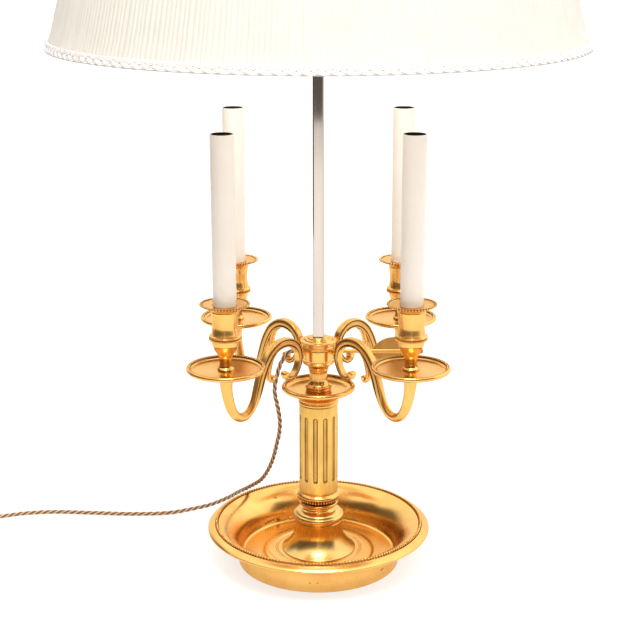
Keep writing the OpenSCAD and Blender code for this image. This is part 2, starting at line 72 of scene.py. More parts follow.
def joined(parts):
    """Several (verts, faces) pairs as one."""
    vs, fs, k = [], [], 0
    for v, f in parts:
        v = np.asarray(v, float)
        vs.append(v)
        fs += [[int(i) + k for i in q] for q in f]
        k += len(v)
    return np.concatenate(vs), fs


def ring_quads(nu, nv, wrap_v=True):
    """Faces of nu rows of nv points each, rows joined in order, each row closed."""
    f = []
    m = nv if wrap_v else nv - 1
    for i in range(nu - 1):
        a, b = i * nv, (i + 1) * nv
        for j in range(m):
            k = (j + 1) % nv
            f.append((a + j, a + k, b + k, b + j))
    return f


def unit(v):
    return v / max(np.linalg.norm(v), 1e-12)


def catmull(p, n, closed=False):
    """Points along a smooth curve through p, n steps between neighbours."""
    p = np.asarray(p, float)
    k = len(p)
    out = []
    for i in range(k if closed else k - 1):
        if closed:
            a, b, c, d = p[(i - 1) % k], p[i], p[(i + 1) % k], p[(i + 2) % k]
        else:
            b, c = p[i], p[i + 1]
            a = p[i - 1] if i > 0 else 2 * b - c
            d = p[i + 2] if i + 2 < k else 2 * c - b
        for s in range(n):
            t = s / n
            out.append(0.5 * (2 * b + (c - a) * t + (2 * a - 5 * b + 4 * c - d) * t * t + (3 * b - a - 3 * c + d) * t ** 3))
    if not closed:
        out.append(p[-1])
    return np.array(out)


def respaced(line, step):
    line = np.asarray(line, float)
    d = np.r_[0, np.cumsum(np.linalg.norm(np.diff(line, axis=0), axis=1))]
    n = max(2, int(round(d[-1] / step)) + 1)
    s = np.linspace(0, d[-1], n)
    return np.stack([np.interp(s, d, line[:, i]) for i in range(line.shape[1])], 1)


def soften(profile, fillet=0.3, corner=33.0, fine=0.7):
    """A closed outline of (r, z) points made smooth: curves through the soft points, small fillets at the corners."""
    p = [np.array(q[:2], float) for q in profile]
    k = len(p)
    turn = []
    for i in range(k):
        a, b = p[i] - p[i - 1], p[(i + 1) % k] - p[i]
        turn.append(math.degrees(math.acos(max(-1, min(1, float(unit(a) @ unit(b)))))))
    out = []
    for i in range(k):
        b, c = p[i], p[(i + 1) % k]
        hard_b, hard_c = turn[i] > corner, turn[(i + 1) % k] > corner
        a = 2 * b - c if hard_b else p[i - 1]
        d = 2 * c - b if hard_c else p[(i + 2) % k]
        long = float(np.linalg.norm(c - b))
        if hard_b:
            out.append(("hard", b, min(fillet, 0.42 * long, 0.42 * float(np.linalg.norm(b - p[i - 1])))))
        else:
            out.append(("soft", b, 0))
        if hard_b and hard_c:
            continue
        n = max(1, min(6, int(round(long / fine))))
        # centripetal-like tangents, limited by the segment's own length
        ma = unit(c - a) * long
        md = unit(d - b) * long
        for s in range(1, n):
            t = s / n
            h00, h10, h01, h11 = 2 * t ** 3 - 3 * t * t + 1, t ** 3 - 2 * t * t + t, -2 * t ** 3 + 3 * t * t, t ** 3 - t * t
            out.append(("soft", h00 * b + h10 * ma + h01 * c + h11 * md, 0))
    res = []
    m = len(out)
    for i in range(m):
        kind, q, f = out[i]
        if kind == "soft":
            res.append(q)
            continue
        pa, pb = out[i - 1][1], out[(i + 1) % m][1]
        la, lb = float(np.linalg.norm(pa - q)), float(np.linalg.norm(pb - q))
        f = min(f, 0.4 * la, 0.4 * lb)
        ua, ub = unit(pa - q), unit(pb - q)
        if la > 5 * f:
            res.append(q + ua * f * 2.0)
        for t in (0, 0.33, 0.67, 1):
            res.append((1 - t) ** 2 * (q + ua * f) + 2 * t * (1 - t) * q + t * t * (q + ub * f))
        if lb > 5 * f:
            res.append(q + ub * f * 2.0)
    return np.array(res)


def lathe(profile, seg=160, square=None, wobble=None):
    """Closed outline of (r, z) turned about Z. Points at radius 0 become poles. square: radius below which the ring is square."""
    profile = np.asarray(profile, float)
    th = np.arange(seg) * TAU / seg
    c, s = np.cos(th), np.sin(th)
    verts, rows = [], []
    for r, z in profile:
        if r < 1e-6:
            rows.append([len(verts)])
            verts.append((0, 0, z))
            continue
        rr = np.full(seg, r)
        if square is not None and r <= square + 1e-6:
            rr = r / np.maximum(np.abs(c), np.abs(s))
        rows.append(list(range(len(verts), len(verts) + seg)))
        verts += list(zip(rr * c, rr * s, np.full(seg, z)))
    faces = []
    k = len(rows)
    for i in range(k):
        a, b = rows[i], rows[(i + 1) % k]
        if len(a) == 1 and len(b) == 1:
            continue
        for j in range(seg):
            n = (j + 1) % seg
            if len(a) == 1:
                faces.append((a[0], b[n], b[j]))
            elif len(b) == 1:
                faces.append((a[j], a[n], b[0]))
            else:
                faces.append((a[j], a[n], b[n], b[j]))
    return np.array(verts), faces


def bead(cx, cy, cz, r, flat=(1, 1, 1), turn=0.0, nu=10, nv=7):
    """A small ball, squashed along its own radial, tangential and vertical directions."""
    v, f = [], []
    ct, st = math.cos(turn), math.sin(turn)

    def put(x, y, z):
        x, y, z = x * flat[0] * r, y * flat[1] * r, z * flat[2] * r
        v.append((cx + x * ct - y * st, cy + x * st + y * ct, cz + z))
    put(0, 0, -1)
    for i in range(1, nv):
        a = -math.pi / 2 + math.pi * i / nv
        for j in range(nu):
            b = TAU * j / nu
            put(math.cos(a) * math.cos(b), math.cos(a) * math.sin(b), math.sin(a))
    put(0, 0, 1)
    for j in range(nu):
        n = (j + 1) % nu
        f.append((0, 1 + n, 1 + j))
        for i in range(nv - 2):
            a, b = 1 + i * nu, 1 + (i + 1) * nu
            f.append((a + j, a + n, b + n, b + j))
        f.append((1 + (nv - 2) * nu + j, 1 + (nv - 2) * nu + n, 1 + (nv - 1) * nu))
    return np.array(v), f


def bead_ring(radius, z, count, r, flat=(1, 1, 1), nu=10, nv=7):
    parts = []
    for i in range(count):
        a = TAU * (i + 0.5) / count
        parts.append(bead(radius * math.cos(a), radius * math.sin(a), z, r, flat, a, nu, nv))
    return joined(parts)


def sweep(line, section, normal=None, caps=True):
    """A closed section (u, v) carried along a line of points. section is an array, or a function of the share of the way."""
    line = np.asarray(line, float)
    n = len(line)
    tan = np.gradient(line, axis=0)
    tan /= np.linalg.norm(tan, axis=1)[:, None]
    if normal is None:
        u = unit(np.cross(tan[0], [0.31, 0.17, 0.93]))
    else:
        u = np.array(normal, float)
    verts, m = [], None
    for i in range(n):
        if normal is None:
            u = unit(u - tan[i] * float(u @ tan[i]))
        w = np.cross(tan[i], u)
        sec = section(i / (n - 1)) if callable(section) else section
        m = len(sec)
        verts.append(line[i] + np.outer(sec[:, 0], u) + np.outer(sec[:, 1], w))
    v = np.concatenate(verts)
    f = ring_quads(n, m)
    if caps:
        f.append(tuple(range(m - 1, -1, -1)))
        f.append(tuple((n - 1) * m + j for j in range(m)))
    return v, f


def disc(r, m=8):
    a = np.arange(m) * TAU / m
    return np.stack([r * np.cos(a), r * np.sin(a)], 1)


def turned(v, angle, shift=(0, 0, 0)):
    """Points turned about Z by angle degrees after a shift."""
    v = np.asarray(v, float) + np.array(shift, float)
    a = math.radians(angle)
    c, s = math.cos(a), math.sin(a)
    return np.stack([v[:, 0] * c - v[:, 1] * s, v[:, 0] * s + v[:, 1] * c, v[:, 2]], 1)


# ------------------------------------------------------------------ camera
cam_data = bpy.data.cameras.new("camera")
cam_data.sensor_width = 36.0
cam_data.sensor_fit = "HORIZONTAL"
cam_data.lens = 81.27
cam_data.clip_start, cam_data.clip_end = 0.05, 50
cam = bpy.data.objects.new("camera", cam_data)
cam.location = (0.0017, -1.5046, 0.717)
cam.rotation_euler = (math.radians(73.83), 0, 0)
bpy.context.scene.collection.objects.link(cam)
bpy.context.scene.camera = cam


# ------------------------------------------------------------------ materials
def material(name):
    m = bpy.data.materials.new(name)
    m.use_nodes = True
    t = m.node_tree
    for n in list(t.nodes):
        t.nodes.remove(n)
    out = t.nodes.new("ShaderNodeOutputMaterial")
    sh = t.nodes.new("ShaderNodeBsdfPrincipled")
    t.links.new(sh.outputs[0], out.inputs[0])
    return m, t, sh


def node(t, kind, inputs=None, **props):
    n = t.nodes.new(kind)
    for k, v in props.items():
        setattr(n, k, v)
    for k, v in (inputs or {}).items():
        if isinstance(v, bpy.types.NodeSocket):
            t.links.new(v, n.inputs[k])
        else:
            n.inputs[k].default_value = v
    return n


def ramp(t, fac, stops, interpolation="LINEAR"):
    n = t.nodes.new("ShaderNodeValToRGB")
    n.color_ramp.interpolation = interpolation
    e = n.color_ramp.elements
    while len(e) > 1:
        e.remove(e[-1])
    e[0].position, e[0].color = stops[0][0], stops[0][1]
    for p, c in stops[1:]:
        q = e.new(p)
        q.color = c
    t.links.new(fac, n.inputs[0])
    return n


def grey(v):
    return (v, v, v, 1)


def rgb(*c):
    return (*c, 1)


def radius_of(t, co):
    """Distance from the object's own Z axis, as a socket."""
    sep = node(t, "ShaderNodeSeparateXYZ", {0: co})
    xx = node(t, "ShaderNodeMath", {0: sep.outputs[0], 1: sep.outputs[0]}, operation="MULTIPLY")
    yy = node(t, "ShaderNodeMath", {0: sep.outputs[1], 1: sep.outputs[1]}, operation="MULTIPLY")
    s = node(t, "ShaderNodeMath", {0: xx.outputs[0], 1: yy.outputs[0]}, operation="ADD")
    r = node(t, "ShaderNodeMath", {0: s.outputs[0]}, operation="SQRT")
    return r.outputs[0], sep.outputs[2]


def gilt(name, turned_lines=True, base=(0.85, 0.49, 0.148), deep=(0.70, 0.34, 0.076), rough=(0.12, 0.25), grime_and_shade=1.0, reach=0.0015, flutes=False, marks=False, spots=()):
    """Warm gilt brass: blotchy colour, turning lines, faint scratches, grime and painted shade in the grooves, and
    where asked painted shade in the flutes and from the mark attribute.
    """
    m, t, sh = material(name)
    co = node(t, "ShaderNodeTexCoord").outputs["Object"]
    sh.inputs["Metallic"].default_value = 1.0
    sh.inputs["Specular Tint"].default_value = rgb(0.95, 0.86, 0.76)
    cloud = node(t, "ShaderNodeTexNoise", {"Vector": co, "Scale": 26.0, "Detail": 3.0, "Roughness": 0.55})
    small = node(t, "ShaderNodeTexNoise", {"Vector": co, "Scale": 310.0, "Detail": 2.0, "Roughness": 0.6})
    tone = ramp(t, cloud.outputs[0], [(0.36, rgb(*base)), (0.66, rgb(*[0.55 * a + 0.45 * b for a, b in zip(base, deep)]))])
    # grime and painted shade in the grooves: darker brown where occlusion finds a surface close by
    ao = node(t, "ShaderNodeAmbientOcclusion", {"Distance": reach}, samples=6, only_local=True)
    crevice_grime_shade = ramp(t, ao.outputs["AO"], [(0.30, grey(1)), (0.80, grey(0))])
    crevice_grime_shade_amount = node(t, "ShaderNodeMath", {0: crevice_grime_shade.outputs[0], 1: 0.80 * grime_and_shade}, operation="MULTIPLY", use_clamp=True)
    mix = node(t, "ShaderNodeMix", {"Factor": crevice_grime_shade_amount.outputs[0]}, data_type="RGBA")
    t.links.new(tone.outputs[0], mix.inputs[6])
    mix.inputs[7].default_value = rgb(0.21, 0.09, 0.024)
    colour = mix.outputs[2]
    if flutes:
        # painted shade down the flutes' walls and floors, patchy along their length
        r, z = radius_of(t, co)
        inside = ramp(t, node(t, "ShaderNodeMapRange", {0: r, 1: 0.0190, 2: 0.0215, 3: 0.0, 4: 1.0}).outputs[0],
                      [(0.10, grey(0.52)), (0.30, grey(0.70)), (0.46, grey(1.0)), (0.80, grey(1.0)), (0.93, grey(0.55)), (1.0, grey(0.0))])
        streak = node(t, "ShaderNodeMapping", {"Vector": co, "Scale": (260.0, 260.0, 30.0)})
        patchy = node(t, "ShaderNodeTexNoise", {"Vector": streak.outputs[0], "Scale": 1.0, "Detail": 3.0})
        patch = ramp(t, patchy.outputs[0], [(0.30, grey(1)), (0.72, grey(0.6))])
        amount = node(t, "ShaderNodeMath", {0: inside.outputs[0], 1: patch.outputs[0]}, operation="MULTIPLY")
        brown = node(t, "ShaderNodeMix", {"Factor": amount.outputs[0]}, data_type="RGBA")
        t.links.new(colour, brown.inputs[6])
        brown.inputs[7].default_value = rgb(0.20, 0.08, 0.018)
        colour = brown.outputs[2]
    if marks:
        # painted shade from the mark attribute: darker in recesses, grooves and between barbs
        lines = node(t, "ShaderNodeAttribute", attribute_name="mark")
        amount = node(t, "ShaderNodeMath", {0: lines.outputs["Fac"], 1: 0.94}, operation="MULTIPLY")
        brown = node(t, "ShaderNodeMix", {"Factor": amount.outputs[0]}, data_type="RGBA")
        t.links.new(colour, brown.inputs[6])
        brown.inputs[7].default_value = rgb(0.15, 0.055, 0.013)
        colour = brown.outputs[2]
    for where_at, size in spots:
        # a worn or pitted place
        wob = node(t, "ShaderNodeTexNoise", {"Vector": co, "Scale": 600.0, "Detail": 1.0})
        off = node(t, "ShaderNodeMath", {0: wob.outputs[0], 1: size * 1.1}, operation="MULTIPLY")
        far = node(t, "ShaderNodeVectorMath", {0: co, 1: tuple(c * MM for c in where_at)}, operation="DISTANCE")
        near = node(t, "ShaderNodeMath", {0: far.outputs["Value"], 1: off.outputs[0]}, operation="ADD")
        mark = node(t, "ShaderNodeMapRange", {0: near.outputs[0], 1: size * 0.8, 2: size * 1.5, 3: 0.9, 4: 0.0})
        pit = node(t, "ShaderNodeMix", {"Factor": mark.outputs[0]}, data_type="RGBA")
        t.links.new(colour, pit.inputs[6])
        pit.inputs[7].default_value = rgb(0.09, 0.035, 0.010)
        colour = pit.outputs[2]
    rough_in = ramp(t, cloud.outputs[0], [(0.3, grey(rough[0])), (0.7, grey(rough[1]))])
    r_sum = node(t, "ShaderNodeMath", {0: small.outputs[0], 1: 0.10, 2: rough_in.outputs[0]}, operation="MULTIPLY_ADD")
    height = small.outputs[0]
    t.links.new(colour, sh.inputs["Base Color"])
    t.links.new(r_sum.outputs[0], sh.inputs["Roughness"])
    bump = node(t, "ShaderNodeBump", {"Strength": 0.13, "Distance": 0.00012, "Height": height})
    normal = bump.outputs[0]
    wide = node(t, "ShaderNodeTexNoise", {"Vector": co, "Scale": 60.0, "Detail": 1.0})
    bump_w = node(t, "ShaderNodeBump", {"Strength": 0.06, "Distance": 0.0006, "Height": wide.outputs[0], "Normal": normal})
    normal = bump_w.outputs[0]
    if turned_lines:
        r, z = radius_of(t, co)
        line_co = node(t, "ShaderNodeCombineXYZ", {0: r, 1: z})
        lines = node(t, "ShaderNodeTexNoise", {"Vector": line_co.outputs[0], "Scale": 1500.0, "Detail": 2.0, "Roughness": 0.7})
        bump2 = node(t, "ShaderNodeBump", {"Strength": 0.10, "Distance": 0.00012, "Height": lines.outputs[0], "Normal": normal})
        normal = bump2.outputs[0]
    t.links.new(normal, sh.inputs["Normal"])
    return m


gold = gilt("gilt_turned")
PITS = [((-47.8, 73.3, 13.5), 0.0034), ((-50.5, 72.5, 14.8), 0.0022), ((-53.5, 69.5, 14.9), 0.0021), ((-56.4, 67.0, 14.7), 0.0022), ((-59.4, 64.2, 14.5), 0.0023),
        ((-62.0, 61.4, 13.8), 0.0019), ((-50.6, 83.5, 36.5), 0.0020), ((-52.6, 82.6, 37.2), 0.0012),
        ((69.0, -58.4, 12.2), 0.0016), ((70.7, -56.3, 12.8), 0.0014), ((-9.3, -89.8, 12.0), 0.0011), ((-0.7, -90.2, 12.2), 0.0011)]
gold_dish = gilt("gilt_dish", rough=(0.12, 0.27), grime_and_shade=0.55, marks=True, spots=PITS)
gold_beaded = gilt("gilt_beaded", marks=True, grime_and_shade=0.4)
gold_bell = gilt("gilt_bell", base=(0.77, 0.50, 0.17), deep=(0.60, 0.345, 0.095), rough=(0.14, 0.27))
gold_cast = gilt("gilt_cast", turned_lines=False, rough=(0.17, 0.31), reach=0.0024, grime_and_shade=1.0, marks=True)
gold_column = gilt("gilt_column", turned_lines=False, rough=(0.20, 0.32), base=(0.94, 0.61, 0.17), deep=(0.80, 0.43, 0.095), flutes=True)
gold_key = gilt("gilt_key", turned_lines=False, rough=(0.22, 0.40), base=(0.85, 0.48, 0.145), deep=(0.66, 0.33, 0.08), grime_and_shade=0.45, reach=0.002, marks=True, spots=[((111.4, 0, 245.5), 0.006)])


def plain_metal(name, colour, rough, scale=220.0, bump=0.15):
    m, t, sh = material(name)
    co = node(t, "ShaderNodeTexCoord").outputs["Object"]
    sh.inputs["Metallic"].default_value = 1.0
    n = node(t, "ShaderNodeTexNoise", {"Vector": co, "Scale": scale, "Detail": 3.0})
    c = ramp(t, n.outputs[0], [(0.3, rgb(*colour)), (0.75, rgb(*[0.8 * x for x in colour]))])
    r = ramp(t, n.outputs[0], [(0.3, grey(rough)), (0.75, grey(min(1, rough * 1.6)))])
    t.links.new(c.outputs[0], sh.inputs["Base Color"])
    t.links.new(r.outputs[0], sh.inputs["Roughness"])
    b = node(t, "ShaderNodeBump", {"Strength": bump, "Distance": 0.0002, "Height": n.outputs[0]})
    t.links.new(b.outputs[0], sh.inputs["Normal"])
    return m


def rod_metal():
    """Polished square bar: long faint draw lines, a few dull streaks."""
    m, t, sh = material("polished_rod")
    co = node(t, "ShaderNodeTexCoord").outputs["Object"]
    sh.inputs["Metallic"].default_value = 1.0
    mp = node(t, "ShaderNodeMapping", {"Vector": co, "Scale": (900.0, 900.0, 5.0)})
    lines = node(t, "ShaderNodeTexNoise", {"Vector": mp.outputs[0], "Scale": 1.0, "Detail": 2.0})
    mp2 = node(t, "ShaderNodeMapping", {"Vector": co, "Scale": (110.0, 110.0, 7.0)})
    cloud = node(t, "ShaderNodeTexNoise", {"Vector": mp2.outputs[0], "Scale": 1.0, "Detail": 3.0})
    c = ramp(t, cloud.outputs[0], [(0.35, rgb(0.60, 0.53, 0.465)), (0.72, rgb(0.53, 0.465, 0.405))])
    r = ramp(t, cloud.outputs[0], [(0.3, grey(0.03)), (0.8, grey(0.09))])
    t.links.new(c.outputs[0], sh.inputs["Base Color"])
    t.links.new(r.outputs[0], sh.inputs["Roughness"])
    b = node(t, "ShaderNodeBump", {"Strength": 0.05, "Distance": 0.0001, "Height": lines.outputs[0]})
    t.links.new(b.outputs[0], sh.inputs["Normal"])
    return m


def ivory(name, colour, dark, rough, sss=0.0, scale=40.0, bump=0.1, shaded_bore=False):
    m, t, sh = material(name)
    co = node(t, "ShaderNodeTexCoord").outputs["Object"]
    n = node(t, "ShaderNodeTexNoise", {"Vector": co, "Scale": scale, "Detail": 4.0})
    f = node(t, "ShaderNodeTexNoise", {"Vector": co, "Scale": 700.0, "Detail": 2.0})
    c = ramp(t, n.outputs[0], [(0.3, rgb(*colour)), (0.8, rgb(*dark))])
    r = ramp(t, n.outputs[0], [(0.3, grey(rough)), (0.8, grey(rough * 1.3))])
    tint = c.outputs[0]
    if shaded_bore:
        # the inner wall is painted near black: painted shade inside the tube
        lines = node(t, "ShaderNodeAttribute", attribute_name="mark")
        inner = node(t, "ShaderNodeMix", {"Factor": lines.outputs["Fac"]}, data_type="RGBA")
        t.links.new(tint, inner.inputs[6])
        inner.inputs[7].default_value = rgb(0.006, 0.005, 0.005)
        tint = inner.outputs[2]
    t.links.new(tint, sh.inputs["Base Color"])
    t.links.new(r.outputs[0], sh.inputs["Roughness"])
    if sss:
        sh.inputs["Subsurface Weight"].default_value = sss
        sh.inputs["Subsurface Radius"].default_value = (1.0, 0.7, 0.45)
        sh.inputs["Subsurface Scale"].default_value = 0.004
    b = node(t, "ShaderNodeBump", {"Strength": bump, "Distance": 0.0002, "Height": f.outputs[0]})
    t.links.new(b.outputs[0], sh.inputs["Normal"])
    return m


def cloth(name, colour, dark, weave=1400.0, sheen=0.25, through=0.0, stretch=(1, 1, 1), bump=0.35, fold_shade=None):
    """Fine woven cloth: crossed thread bump and slight colour change thread to thread."""
    m, t, sh = material(name)
    co = node(t, "ShaderNodeTexCoord").outputs["Object"]
    mp = node(t, "ShaderNodeMapping", {"Vector": co, "Scale": stretch})
    w1 = node(t, "ShaderNodeTexWave", {"Vector": mp.outputs[0], "Scale": weave, "Distortion": 1.2, "Detail": 1.0}, wave_type="BANDS", bands_direction="Z")
    w2 = node(t, "ShaderNodeTexWave", {"Vector": mp.outputs[0], "Scale": weave, "Distortion": 1.2, "Detail": 1.0}, wave_type="BANDS", bands_direction="DIAGONAL")
    h = node(t, "ShaderNodeMath", {0: w1.outputs[1], 1: w2.outputs[1]}, operation="ADD")
    n = node(t, "ShaderNodeTexNoise", {"Vector": co, "Scale": 55.0, "Detail": 4.0})
    c = ramp(t, n.outputs[0], [(0.3, rgb(*colour)), (0.75, rgb(*dark))])
    tint = c.outputs[0]
    # painted shade: darker in pleat valleys and braid crevices that occlusion finds
    if fold_shade:
        reach, shadow = fold_shade
        ao = node(t, "ShaderNodeAmbientOcclusion", {"Distance": reach}, samples=6, only_local=True)
        deep = ramp(t, ao.outputs["AO"], [(0.30, grey(1)), (0.86, grey(0))])
        under = node(t, "ShaderNodeMix", {"Factor": deep.outputs[0]}, data_type="RGBA")
        t.links.new(tint, under.inputs[6])
        under.inputs[7].default_value = rgb(*shadow)
        tint = under.outputs[2]
    t.links.new(tint, sh.inputs["Base Color"])
    sh.inputs["Roughness"].default_value = 0.78
    sh.inputs["Sheen Weight"].default_value = sheen
    sh.inputs["Sheen Roughness"].default_value = 0.4
    sh.inputs["Specular IOR Level"].default_value = 0.3
    b = node(t, "ShaderNodeBump", {"Strength": bump, "Distance": 0.0001, "Height": h.outputs[0]})
    t.links.new(b.outputs[0], sh.inputs["Normal"])
    if through:
        tr = node(t, "ShaderNodeBsdfTranslucent")
        t.links.new(c.outputs[0], tr.inputs[0])
        t.links.new(b.outputs[0], tr.inputs[1])
        mx = node(t, "ShaderNodeMixShader", {0: through})
        t.links.new(sh.outputs[0], mx.inputs[1])
        t.links.new(tr.outputs[0], mx.inputs[2])
        out = [n for n in t.nodes if n.type == "OUTPUT_MATERIAL"][0]
        t.links.new(mx.outputs[0], out.inputs[0])
    return m


def flex_cloth():
    """Braided silk over each core: fine diamond braid bump, golden brown with darker threads, and painted shade on the
    strands' flanks and between them.
    """
    m, t, sh = material("silk_flex")
    uv = node(t, "ShaderNodeTexCoord").outputs["UV"]
    mp = node(t, "ShaderNodeMapping", {"Vector": uv, "Scale": (1.0, 1.0, 1.0)})
    a = node(t, "ShaderNodeTexWave", {"Vector": mp.outputs[0], "Scale": 1.0, "Distortion": 0.0}, wave_type="BANDS", bands_direction="DIAGONAL")
    mp2 = node(t, "ShaderNodeMapping", {"Vector": uv, "Scale": (-1.0, 1.0, 1.0)})
    b = node(t, "ShaderNodeTexWave", {"Vector": mp2.outputs[0], "Scale": 1.0, "Distortion": 0.0}, wave_type="BANDS", bands_direction="DIAGONAL")
    h = node(t, "ShaderNodeMath", {0: a.outputs[1], 1: b.outputs[1]}, operation="MAXIMUM")
    co = node(t, "ShaderNodeTexCoord").outputs["Object"]
    n = node(t, "ShaderNodeTexNoise", {"Vector": co, "Scale": 900.0, "Detail": 2.0})
    k = node(t, "ShaderNodeMath", {0: h.outputs[0], 1: n.outputs[0]}, operation="MULTIPLY")
    # painted shade: the strands' flanks from the mark attribute, the gaps between strands from occlusion
    lines = node(t, "ShaderNodeAttribute", attribute_name="mark")
    shade = ramp(t, lines.outputs["Fac"], [(0.0, grey(1)), (0.45, grey(0.50)), (1.0, grey(0.20))])
    c = ramp(t, k.outputs[0], [(0.05, rgb(0.33, 0.17, 0.08)), (0.3, rgb(0.62, 0.36, 0.19)), (0.7, rgb(0.80, 0.52, 0.31))])
    ao = node(t, "ShaderNodeAmbientOcclusion", {"Distance": 0.0020}, samples=6, only_local=True)
    deep = ramp(t, ao.outputs["AO"], [(0.25, grey(0.08)), (0.74, grey(1))])
    mul = node(t, "ShaderNodeMix", {"Factor": 1.0}, data_type="RGBA", blend_type="MULTIPLY")
    t.links.new(c.outputs[0], mul.inputs[6])
    t.links.new(deep.outputs[0], mul.inputs[7])
    mul2 = node(t, "ShaderNodeMix", {"Factor": 1.0, 6: mul.outputs[2], 7: shade.outputs[0]}, data_type="RGBA", blend_type="MULTIPLY")
    t.links.new(mul2.outputs[2], sh.inputs["Base Color"])
    sh.inputs["Roughness"].default_value = 0.5
    sh.inputs["Sheen Weight"].default_value = 0.15
    sh.inputs["Sheen Roughness"].default_value = 0.35
    bp = node(t, "ShaderNodeBump", {"Strength": 0.5, "Distance": 0.0002, "Height": h.outputs[0]})
    t.links.new(bp.outputs[0], sh.inputs["Normal"])
    return m


def moulded(name, colour, rough, shine=0.5):
    m, t, sh = material(name)
    sh.inputs["Specular IOR Level"].default_value = shine
    co = node(t, "ShaderNodeTexCoord").outputs["Object"]
    n = node(t, "ShaderNodeTexNoise", {"Vector": co, "Scale": 900.0, "Detail": 3.0})
    v = node(t, "ShaderNodeTexNoise", {"Vector": co, "Scale": 30.0, "Detail": 2.0})
    c = ramp(t, v.outputs[0], [(0.3, rgb(*colour)), (0.75, rgb(*[min(1, 1.35 * x) for x in colour]))])
    r = ramp(t, v.outputs[0], [(0.3, grey(rough)), (0.75, grey(min(1, rough * 1.4)))])
    t.links.new(c.outputs[0], sh.inputs["Base Color"])
    t.links.new(r.outputs[0], sh.inputs["Roughness"])
    b = node(t, "ShaderNodeBump", {"Strength": 0.12, "Distance": 0.0001, "Height": n.outputs[0]})
    t.links.new(b.outputs[0], sh.inputs["Normal"])
    return m


raw_brass = plain_metal("raw_brass", (0.72, 0.49, 0.21), 0.28)
pin_metal = plain_metal("pin_metal", (0.74, 0.70, 0.62), 0.18)
rod_mat = rod_metal()
candle_mat = ivory("candle_ivory", (0.87, 0.785, 0.695), (0.84, 0.745, 0.65), 0.34, sss=0.08, bump=0.05, shaded_bore=True)
wire_mat = ivory("wire_paint", (0.80, 0.76, 0.68), (0.74, 0.69, 0.60), 0.45)
black_mat = moulded("black_plastic", (0.007, 0.006, 0.006), 0.62, shine=0.15)
brown_mat = moulded("brown_plastic", (0.035, 0.014, 0.006), 0.22)
rocker_mat = moulded("rocker_plastic", (0.010, 0.008, 0.007), 0.2)
felt_mat = cloth("felt", (0.010, 0.035, 0.018), (0.006, 0.022, 0.012), weave=260.0, sheen=0.6, bump=0.8)
silk_mat = cloth("shade_silk", (0.705, 0.672, 0.612), (0.68, 0.64, 0.575), weave=420.0, sheen=0.2, through=0.22, bump=0.12, fold_shade=(0.0026, (0.55, 0.49, 0.405)))
lining_mat = cloth("shade_lining", (0.80, 0.765, 0.695), (0.78, 0.735, 0.655), weave=420.0, sheen=0.15, through=0.22, bump=0.1)
gimp_mat = cloth("gimp_braid", (0.79, 0.768, 0.735), (0.765, 0.735, 0.69), weave=900.0, sheen=0.3, bump=0.5, fold_shade=(0.0026, (0.30, 0.25, 0.215)))
flex_mat = flex_cloth()

# ------------------------------------------------------------------ the cord, first of the pieces
RUN_A = [
    (-21.4, 0, 245.5), (-25.4, 0, 245.8), (-30, 0, 245), (-34.6, 1, 242), (-38.8, 1, 236), (-43, 2, 226), (-46.4, 2, 213), (-48.2, 3, 203),
    (-47.8, 4, 193), (-45.8, 6, 182), (-44, 8, 171), (-43, 11, 160), (-44, 16, 144), (-47.4, 23, 127), (-51, 31, 110), (-57, 42, 91), (-67, 59, 70), (-83, 82, 51), (-96, 98, 38),
    (-109, 112, 25), (-131, 121, 12), (-156, 123, 5), (-184, 117, 2.8), (-226, 114, 2.8), (-272, 117, 2.8), (-320, 120, 2.8),
    (-356, 116, 2.8), (-386, 106, 3), (-404, 101, 5), (-418, 100, 7.5)]
RUN_B = [(-480, 100, 7.5), (-490, 99, 6), (-502, 96, 3.6), (-514, 93, 2.8)]
RUN_C = [(-553, 57, 13), (-553, 47, 12.4), (-553.3, 38, 9.6), (-553, 29, 7.3), (-553, 22, 7.2), (-553, 18, 7.2), (-553, 14, 7.2)]
COIL_X, COIL_Y, COIL_R, CORD_D = -520.0, 60.0, 30.36, 5.2


def coil_points():
    """The coil's turns: a bundle two wide and three high, wound evenly."""
    ro, ri = COIL_R + CORD_D / 2, COIL_R - CORD_D / 2
    lay = [(ro, 2.75), (ri, 2.75), (ri, 7.9), (ro, 7.9), (ri, 12.95), (ro, 12.95)]
    pts = []
    n = 48
    start = 84.0
    total = 5 * 360 + (180 - start)
    steps = int(total / 360 * n)
    for i in range(steps + 1):
        q = total * i / steps
        k = min(5, int(q // 360))
        r, z = lay[k]
        into = q - 360 * k
        if k < 5 and into > 300:
            s = (into - 300) / 60
            s = s * s * (3 - 2 * s)
            r2, z2 = lay[k + 1]
            r, z = r + (r2 - r) * s, z + (z2 - z) * s
        a = math.radians(start + q)
        pts.append((COIL_X + r * math.cos(a), COIL_Y + r * math.sin(a), z))
    return pts[1:-1]


inside = [(x, 100, 7.5) for x in (-428, -440, -452, -464, -474)]
route = catmull(RUN_A + inside + RUN_B + coil_points() + RUN_C, 10)
route = respaced(route, 1.5)


